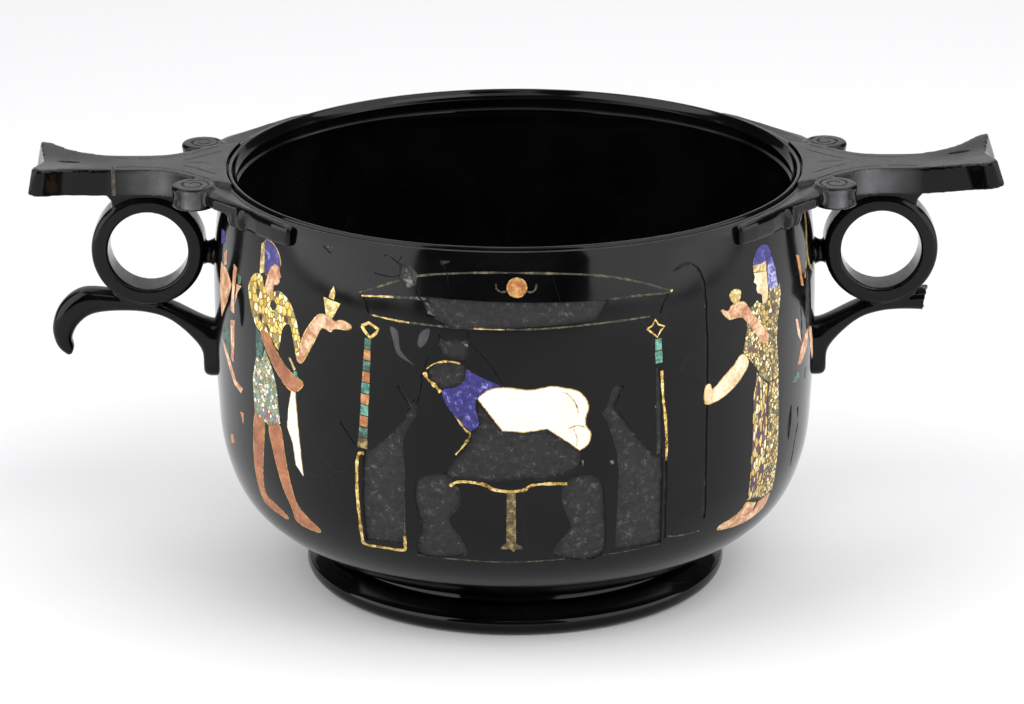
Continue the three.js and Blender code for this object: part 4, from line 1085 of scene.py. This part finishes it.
left_beads = beads_along((-43.2, 101.7), (-45.3, 66.8), 10, 1.9, 2.9)
inlay("left_column_green", [left_beads[k] for k in (0, 2, 8)], shrine_at, green_stone,
      ["left_column"])
inlay("left_column_turquoise", [left_beads[k] for k in (4, 6)], shrine_at, turquoise)
inlay("left_column_orange", [left_beads[k] for k in (1, 3, 5, 7)], shrine_at, orange_stone)
inlay("left_column_foot", [left_beads[9]], shrine_at, dark_paste)
inlay("right_column_turquoise", beads_along((42.1, 101.6), (42.4, 93.8), 2, 1.8, 2), shrine_at, turquoise,
      ["right_column"])
left_frame = [(-44.9, 65.3), (-46.3, 65), (-47, 62), (-47.1, 53.6), (-46.6, 45), (-45.9, 37.5),
              (-45.1, 34.6),
              (-40, 34.6), (-33.5, 34.8), (-32.9, 36.9), (-32.9, 40)]
inlay("left_frame_gold", [drawn(left_frame, 0.9, 0.5)], shrine_at, gold, ["left_frame_wire"], 0.12)
inlay("right_frame_gold", [drawn([(43.2, 91.4), (43.7, 83.2), (44.5, 75.7), (44.9, 68.4), (44.8, 62.9)],
                                 0.75, 0.6)],
      shrine_at, gold, ["right_frame_wire"], 0.12)
inlay("cornice_gold", [
    drawn([(-41.6, 108.8), (-36, 108.3), (-31, 108)], 0.4, 1.2),
    drawn([(-45, 114.1), (-40, 114.7), (-35.6, 115.1)], 0.42, 1.4),
    drawn([(-12, 107.6), (-7, 107.5), (-3, 107.5)], 0.32, 1.2), disc(46, 115.2, 0.45, 6),
], shrine_at, aged_gold)
inlay("pale_chips", [[(27.9, 65.4), (28.9, 65.6), (29.3, 64.6), (28.6, 64.1)],
                     [(19.6, 66.6), (20.2, 66), (19.9, 64.4)],
                     [(-14.9, 102.8), (-13.6, 102.7), (-13.9, 102)],
                     [(41.2, 80.9), (41.8, 80.5), (41.4, 79.9)]],
      shrine_at, old_glue, proud=0.02)

# Calf: a body of white stone and a neck of lapis, edged with gold, on a stand with a gold-wired top and
# one paste leg. Its head, crown and mount are lost.
calf_body = curve_through([
    (-10.9, 86.3), (-8.2, 88.5), (-3.5, 89.7), (4.5, 88.9), (10.6, 89.8), (16, 88.8), (19.3, 87.2),
                           (21.4, 83.4),
    (20.6, 79.6), (20.6, 77.2), (22.1, 74.6), (21.4, 71.6), (19, 69.6),
], 5) + [(16.7, 71.6), (9.6, 77), (2.5, 76.1), (-3.6, 76.5)]
calf_neck = curve_through([
    (-14.1, 95.2), (-9.6, 92.7), (-4.2, 90.4),
], 4) + curve_through([(-8.2, 88.9), (-11.2, 86.3), (-11.6, 82.7), (-10.6, 78.5), (-13, 75.9)], 3)
calf_neck += curve_through([(-15.7, 78.2), (-19.7, 83), (-21.4, 87.1), (-20.8, 88.6), (-17.4, 89.4),
                            (-14.8, 91.6)], 3)
inlay("calf_edge", [grown(calf_body, 0.3)], shrine_at, gold, proud=0.04)
inlay("calf_body_stone", [calf_body], shrine_at, white_stone, ["calf_body"], 0.09)
inlay("calf_neck_stone", [calf_neck], shrine_at, lapis, ["calf_neck"], 0.08)
inlay("calf_lines", [
    drawn([(13.6, 88), (15.4, 87.4), (17.6, 84.6), (18.6, 81.4)], 0.3, 1.0),
    drawn([(15.6, 76.6), (18.4, 77.4), (20.8, 76.6)], 0.26, 1.0),
    drawn([(17.2, 76.4), (18.2, 73.4), (18, 71.2)], 0.26, 1.0),
    drawn([(-26.6, 93.4), (-25.6, 91.4), (-23.6, 89.6), (-21.8, 87.6)], 0.75, 1.2),
    drawn([(-26, 94.4), (-23.4, 96.4), (-19.6, 97.3), (-16, 96.8)], 0.42, 1.4),
    drawn([(-17.6, 80.4), (-14.6, 76.4), (-13.2, 75), (-15, 71.6), (-17.6, 68.4)], 0.42, 1.6),
], shrine_at, gold, proud=0.11)
inlay("stand_gold", [drawn([
    (-19.3, 58.2), (-16.8, 59.8), (-12, 59.8), (-8.6, 59.1), (-6.4, 57.8), (-2, 57.2), (2.6, 57.7),
    (4.4, 59), (9, 59.5), (15.3, 59.2),
], 0.85, 0.6)], shrine_at, gold, ["stand_wire"], 0.12)
inlay("stand_leg_paste", [[
    (-2.5, 56.8), (0.1, 56.8), (0.2, 40), (1.8, 39), (2.1, 37.8), (0.2, 37.9), (-0.6, 36.9), (-1.6, 37.9),
    (-4.4, 37.8), (-4.3, 38.8), (-2.7, 40),
]], shrine_at, dark_paste, ["stand_leg"])


# Left figure: walks toward the shrine with a flaming cup on its raised hand. Points are hundredths of
# its height, across from its axis and up from its soles.
def figure_points(points, base, height=92):
    return [(x * height / 100, base + y * height / 100) for x, y in points]


left_shapes = {
    "strip": [(-10, 97), (-8.6, 98), (-7.6, 93), (-7.4, 88), (-9.8, 87)],
    "wig": [(-8, 98.2), (-6, 98.9), (-3.4, 98.3), (-0.8, 96.6), (0.9, 94), (0.9, 91.8), (-1.6, 92.2),
            (-3.6, 90.6), (-5, 88), (-6.8, 88.2), (-7.4, 92)],
    "face": [(-1.5, 92.1), (0.9, 91.7), (1.2, 90.2), (2.2, 88.7), (1.3, 88.1), (1.5, 86.9), (0.6, 85.9),
             (-1.4, 85.2), (-1.7, 82.6), (-4, 81.4), (-6.6, 82.8), (-5.6, 86), (-5, 88.1), (-3.6, 90.8)],
    "tunic": [(-16.6, 80.4), (-13, 86.2), (-8.4, 86.6), (-6.4, 83), (-4, 81.6), (-1.6, 82.8), (2, 84),
              (7, 81.6),
              (10, 77), (12.4, 69), (11.2, 64.4), (9.8, 66), (7.4, 74), (3.6, 71.6), (1.4, 64),
              (-3.6, 68.6),
              (-8.4, 67.8), (-12.4, 70.4)],
    "raised_arm": [(10, 66.4), (11.6, 66), (13.6, 71.6), (17.6, 77.4), (20.4, 80.2), (24, 80.2), (26.4, 79),
                   (29.4, 79.8), (32.6, 78.6), (31.4, 77.4), (26.6, 77), (25, 75.6), (21.4, 76.2),
                   (18.6, 71.6), (13.4, 63.2), (11, 62.6)],
    "cup": [(21.8, 86.4), (28.4, 85.4), (26.2, 81), (25.6, 80.2), (23.2, 80.4)],
    "flame": [(25.4, 90.6), (26.2, 88.4), (25.8, 86.2), (23.8, 86.6), (24.2, 88.6)],
    "sleeve_end": [(6.6, 62.8), (7.6, 62.6), (9.9, 59.4), (9, 58.8)],
    "bead": [(8.9, 58.4), (10.2, 59), (10.9, 56.8), (9.7, 56.3)],
    "lowered_arm": [(-8.4, 67.6), (-4.6, 68.4), (-1, 64.4), (3.4, 60.2), (8, 57.4), (12.8, 55.6),
                    (12, 53.6),
                    (9.2, 51.6), (6, 52), (2.2, 54.6), (-2.4, 59)],
    "belt": [(-11.4, 68.6), (-8.8, 67), (-6.6, 63.6), (-8.2, 58.6), (-11.6, 58.6)],
    "kilt": [(-11.8, 58.2), (-8.2, 58.2), (-6, 62.4), (-2.2, 56.6), (0, 51), (1.2, 38.4), (-5, 36.2),
             (-13.8, 38.6), (-14.2, 50)],
    "sash": [(7.6, 51.2), (9.2, 51.4), (10.6, 32), (11.2, 22.8), (8.2, 26), (7.4, 33.4), (5, 38.4),
             (6, 45)],
    "back_leg": [(-13.4, 38.2), (-8, 36.8), (-9.6, 27), (-11.6, 16), (-12.2, 9.4), (-7, 7), (-2, 4.4),
                 (-3.2, 3),
                 (-10, 4.2), (-14.6, 5.4), (-16, 9), (-16.2, 25)],
    "front_leg": [(-5, 36.2), (1, 37.4), (2.4, 28), (4.2, 19), (6.2, 10.8), (10, 7), (13.8, 4), (12.8, 2.6),
                  (7.4, 2.8), (3, 4.2), (2.8, 9.2), (0.4, 15.4), (-3.6, 28)],
}
left = {key: figure_points(points, 32) for key, points in left_shapes.items()}
for key in ("wig", "raised_arm", "lowered_arm", "back_leg", "front_leg", "tunic"):
    left[key] = rounded(left[key], 3)
gold_edges = [grown(left[key], 0.3) for key in ("wig", "raised_arm", "lowered_arm", "back_leg",
                                                "front_leg", "sash")]
inlay("left_figure_gold", gold_edges, left_figure_at, gold, proud=0.03, crossing=True)
inlay("left_head_band", [left["strip"], left["sleeve_end"], left["flame"]], left_figure_at, aged_gold,
      proud=0.1)
inlay("left_wig_stone", [left["wig"]], left_figure_at, lapis, ["left_figure_wig"], 0.08)
inlay("left_face_stone", [left["face"]], left_figure_at, pale_coral, ["left_figure_face"],
      0.09)
inlay("left_lowered_arm", [left["lowered_arm"]], left_figure_at, coral,
      ["left_figure_lowered_arm"], 0.13)
inlay("left_raised_arm", [left["raised_arm"]], left_figure_at, pale_coral,
      ["left_figure_raised_arm"], 0.09)
inlay("left_cup_gold", [left["cup"]], left_figure_at, aged_gold, ["left_figure_cup"], 0.14)
inlay("left_tunic_mosaic", [left["tunic"]], left_figure_at, gold_mosaic,
      ["left_figure_tunic"], 0.1)
inlay("left_tunic_losses", [disc(-1.1, 104.3, 1.6, 10), disc(-7.7, 98.8, 0.9, 8)], left_figure_at,
      lost_stone,
      proud=0.14)
inlay("left_belt_stone", [left["belt"]], left_figure_at, green_stone, proud=0.08)
inlay("left_wrist_bead", [left["bead"]], left_figure_at, turquoise, proud=0.14)
inlay("left_kilt_mosaic", [left["kilt"]], left_figure_at, kilt_mosaic, ["left_figure_kilt"],
      0.09)
inlay("left_sash_stone", [left["sash"]], left_figure_at, white_stone, ["left_figure_sash"],
      0.09)
inlay("left_back_leg", [left["back_leg"]], left_figure_at, coral, ["left_figure_back_leg"], 0.08)
inlay("left_front_leg", [left["front_leg"]], left_figure_at, coral, ["left_figure_front_leg"],
      0.09)

# Right figure: faces the shrine in a long patterned dress, with a small cup on one hand and the other
# arm, of white stone, held down toward the staff.
right_shapes = {
    "wig": [(-6, 93.8), (-5, 96.8), (-2.4, 98.7), (0.6, 99), (3.4, 97.4), (4.6, 94.4), (3, 92.6),
            (1.2, 91.6),
            (-1.6, 93.2)],
    "lock": [(1.4, 91.6), (3.4, 92.6), (4.9, 94), (6.3, 90), (7.4, 83.8), (4.6, 82.8), (1.5, 84.2)],
    "band": [(-6.4, 93.8), (-2, 93.2), (1, 93.8), (0.8, 90.4), (-2.6, 90.8), (-6.2, 91.4)],
    "face": [(-6.2, 91.2), (-2.6, 90.6), (0.9, 90.2), (1.1, 84.2), (0.6, 80.8), (-2.2, 79.6), (-2.6, 83.2),
             (-4.8, 84.2), (-5.4, 85.6), (-5, 86.8), (-5.6, 87.6), (-6.6, 88.2), (-5.7, 89.8)],
    "dress_top": [(-5.2, 81.8), (-2.4, 79.8), (0.6, 80.6), (2, 84.2), (5, 83), (8.6, 84), (9.2, 80),
                  (7, 73),
                  (6.2, 66), (8, 56), (8.2, 52), (1.6, 52), (-3, 55), (-5.2, 58.6), (-9, 62.4),
                  (-12.8, 66.4),
                  (-11, 73), (-10.8, 77.6), (-9.4, 80)],
    "dress_left": [(-5.6, 57.6), (-3, 54.6), (1, 51.6), (1.4, 48), (2, 30), (2.4, 11.2), (-5.4, 12.2),
                   (-6.4, 26),
                   (-6.8, 48)],
    "dress_right": [(1.8, 51.6), (8.2, 51.6), (8.6, 46), (10.2, 28), (10.6, 11.2), (4.2, 10), (2.8, 11),
                    (2.4, 30),
                    (1.8, 48)],
    "raised_arm": [(-22.6, 82.6), (-19.8, 81.4), (-17.4, 83), (-12.4, 83), (-9.6, 80), (-3.4, 73.4),
                   (0.9, 69),
                   (0.2, 66), (-4, 68.2), (-11.4, 76.8), (-13.6, 78.4), (-17.4, 78.8), (-19.4, 79)],
    "cup": [(-18.8, 87), (-16.2, 88.2), (-13.4, 87), (-14.2, 84.2), (-16, 83.2), (-17.8, 84.4)],
    "forearm": [(-13.2, 65.4), (-9.8, 62), (-13, 58), (-18, 54.6), (-24, 52.4), (-29, 52.4), (-29.2, 57.6),
                (-27.4, 58.4), (-26.2, 56.4), (-21.6, 59.6), (-17, 62.6)],
    "feet": [(-5.4, 11.2), (-1, 9.8), (3.8, 9.2), (9.4, 10.2), (9.6, 7.6), (8, 4.8), (2, 3.2), (-6, 3.1),
             (-13, 3.8),
             (-16.8, 4.6), (-16.4, 6), (-11, 7.2), (-7.2, 9)],
    "foot_gap": [(1.2, 10), (2.6, 9.8), (1.2, 7.2), (0.2, 6.6)],
}
right = {key: figure_points(points, 30) for key, points in right_shapes.items()}
for key in ("wig", "raised_arm", "forearm", "feet", "cup"):
    right[key] = rounded(right[key], 3)
gold_edges = [grown(right[key], 0.28) for key in ("raised_arm", "forearm", "feet")]
inlay("right_figure_gold", gold_edges, right_figure_at, gold, proud=0.03, crossing=True)
inlay("right_wig_stone", [right["wig"]], right_figure_at, lapis, ["right_figure_wig"], 0.08)
inlay("right_wig_lock", [right["lock"]], right_figure_at, pale_lapis, proud=0.08)
inlay("right_brow_band", [right["band"]], right_figure_at, aged_gold, proud=0.12)
inlay("right_face_stone", [right["face"]], right_figure_at, cream_stone,
      ["right_figure_face"], 0.09)
inlay("right_raised_arm", [right["raised_arm"]], right_figure_at, pale_coral,
      ["right_figure_raised_arm"], 0.13)
inlay("right_cup_gold", [right["cup"]], right_figure_at, aged_gold, ["right_figure_cup"], 0.15)
inlay("right_forearm_stone", [right["forearm"]], right_figure_at, cream_stone,
      ["right_figure_forearm"], 0.08)
inlay("right_dress_top", [right["dress_top"], right["dress_right"]], right_figure_at, dress_mosaic,
      ["right_figure_dress"], 0.1)
inlay("right_dress_stripes", [right["dress_left"]], right_figure_at, striped_cloth,
      proud=0.1)
inlay("right_feet_stone", [right["feet"]], right_figure_at, pale_coral,
      ["right_figure_feet"], 0.09)
inlay("right_foot_gap", [right["foot_gap"]], right_figure_at, lost_stone, proud=0.12)

# Beside the handles: what is left of two more figures on each side.
inlay("far_left_wig", [[(-7, 117), (-2, 117.4), (-1, 114), (-5.6, 112.6)]], far_left_at, lapis)
inlay("far_left_chest", [[(-4, 107.4), (3, 107), (8, 103.6), (4, 97), (-3, 90), (-5, 98)]], far_left_at,
      pale_coral, ["far_left_shoulder"], 0.06)
inlay("far_left_arms", [
    [(9, 110.4), (12, 109.8), (10.4, 101.6), (10.2, 95), (7.2, 95.2), (8.4, 102)],
    [(12, 105), (15.6, 105.2), (13, 102.6), (11, 98)],
    [(-1, 111), (2, 113), (2.4, 108.4), (0, 107.4)],
], far_left_at, pale_coral, ["far_left_arm"], 0.07)
inlay("far_left_skirt", [
    [(-2, 88), (4, 89.6), (6, 86), (4.6, 79), (0.4, 80), (-1, 85)],
    [(12.4, 108.4), (15, 108), (15, 105.8), (13, 105.2)],
], far_left_at, green_stone)
inlay("far_left_legs", [
    [(7, 92), (10.6, 93), (9.6, 84), (8.6, 79), (6.6, 79.4)],
    [(-4, 83), (0, 82.4), (6, 78.4), (10.4, 73.6), (15.6, 72.6), (14, 70.6), (8.6, 72), (2, 78)],
], far_left_at, pale_coral, ["far_left_foot"], 0.08)
inlay("far_left_bits", [
    [(12.6, 64.2), (15.4, 64.6), (14.2, 60.6)], [(0.4, 53), (3.8, 54), (4.8, 51.6), (1.4, 50.2)],
], far_left_at, orange_stone)
inlay("far_right_gold", [
    drawn([(6, 124), (5, 117), (3.6, 112), (5.2, 106), (10, 103)], 1.5, 0.8),
    drawn([(3.4, 111), (0.6, 106), (-0.6, 103)], 0.9, 0.8),
], far_right_at, gold, ["far_right_band"], 0.1, True)
inlay("far_right_arm", [[(-8, 112.6), (-5.4, 111.6), (-4, 106), (-2.2, 101), (-4.8, 102)]], far_right_at,
      orange_stone)
inlay("far_right_feet", [
    [(-10, 93), (-8, 92), (-5, 86), (-3.4, 83), (-7.6, 87)],
    [(1.4, 85.8), (4.6, 85), (3, 80), (-4, 76.6), (-7, 77.2), (-4.4, 81.6)],
    [(5.4, 84.8), (9.4, 84.6), (14, 78), (16, 73), (13.6, 72.6), (8, 78)],
], far_right_at, pale_coral, ["far_right_legs"], 0.07)
inlay("far_right_bits", [
    [(-11.6, 73.2), (-7.2, 75.2), (-4.6, 73.2), (-8, 71.8)], [(1.6, 73.6), (3.8, 73.2), (2.6, 69.4),
                                                              (0.6, 70.6)],
], far_right_at, green_stone)

# Back: the same shrine repeated, plainer, with its roof, disc and two green columns.
inlay("back_sun_stone", [disc(0.6, 119.9, 2.75)], back_shrine_at, orange_stone,
      ["back_sun_disc"])
inlay("back_left_beads", beads_along((-42.5, 99.6), (-45.8, 67.5), 9, 2.1, 2.1), back_shrine_at,
      green_stone,
      ["back_left_column"])
inlay("back_right_beads", beads_along((42.5, 99.6), (45.8, 67.5), 9, 2.1, 2.1), back_shrine_at, green_stone,
      ["back_right_column"])
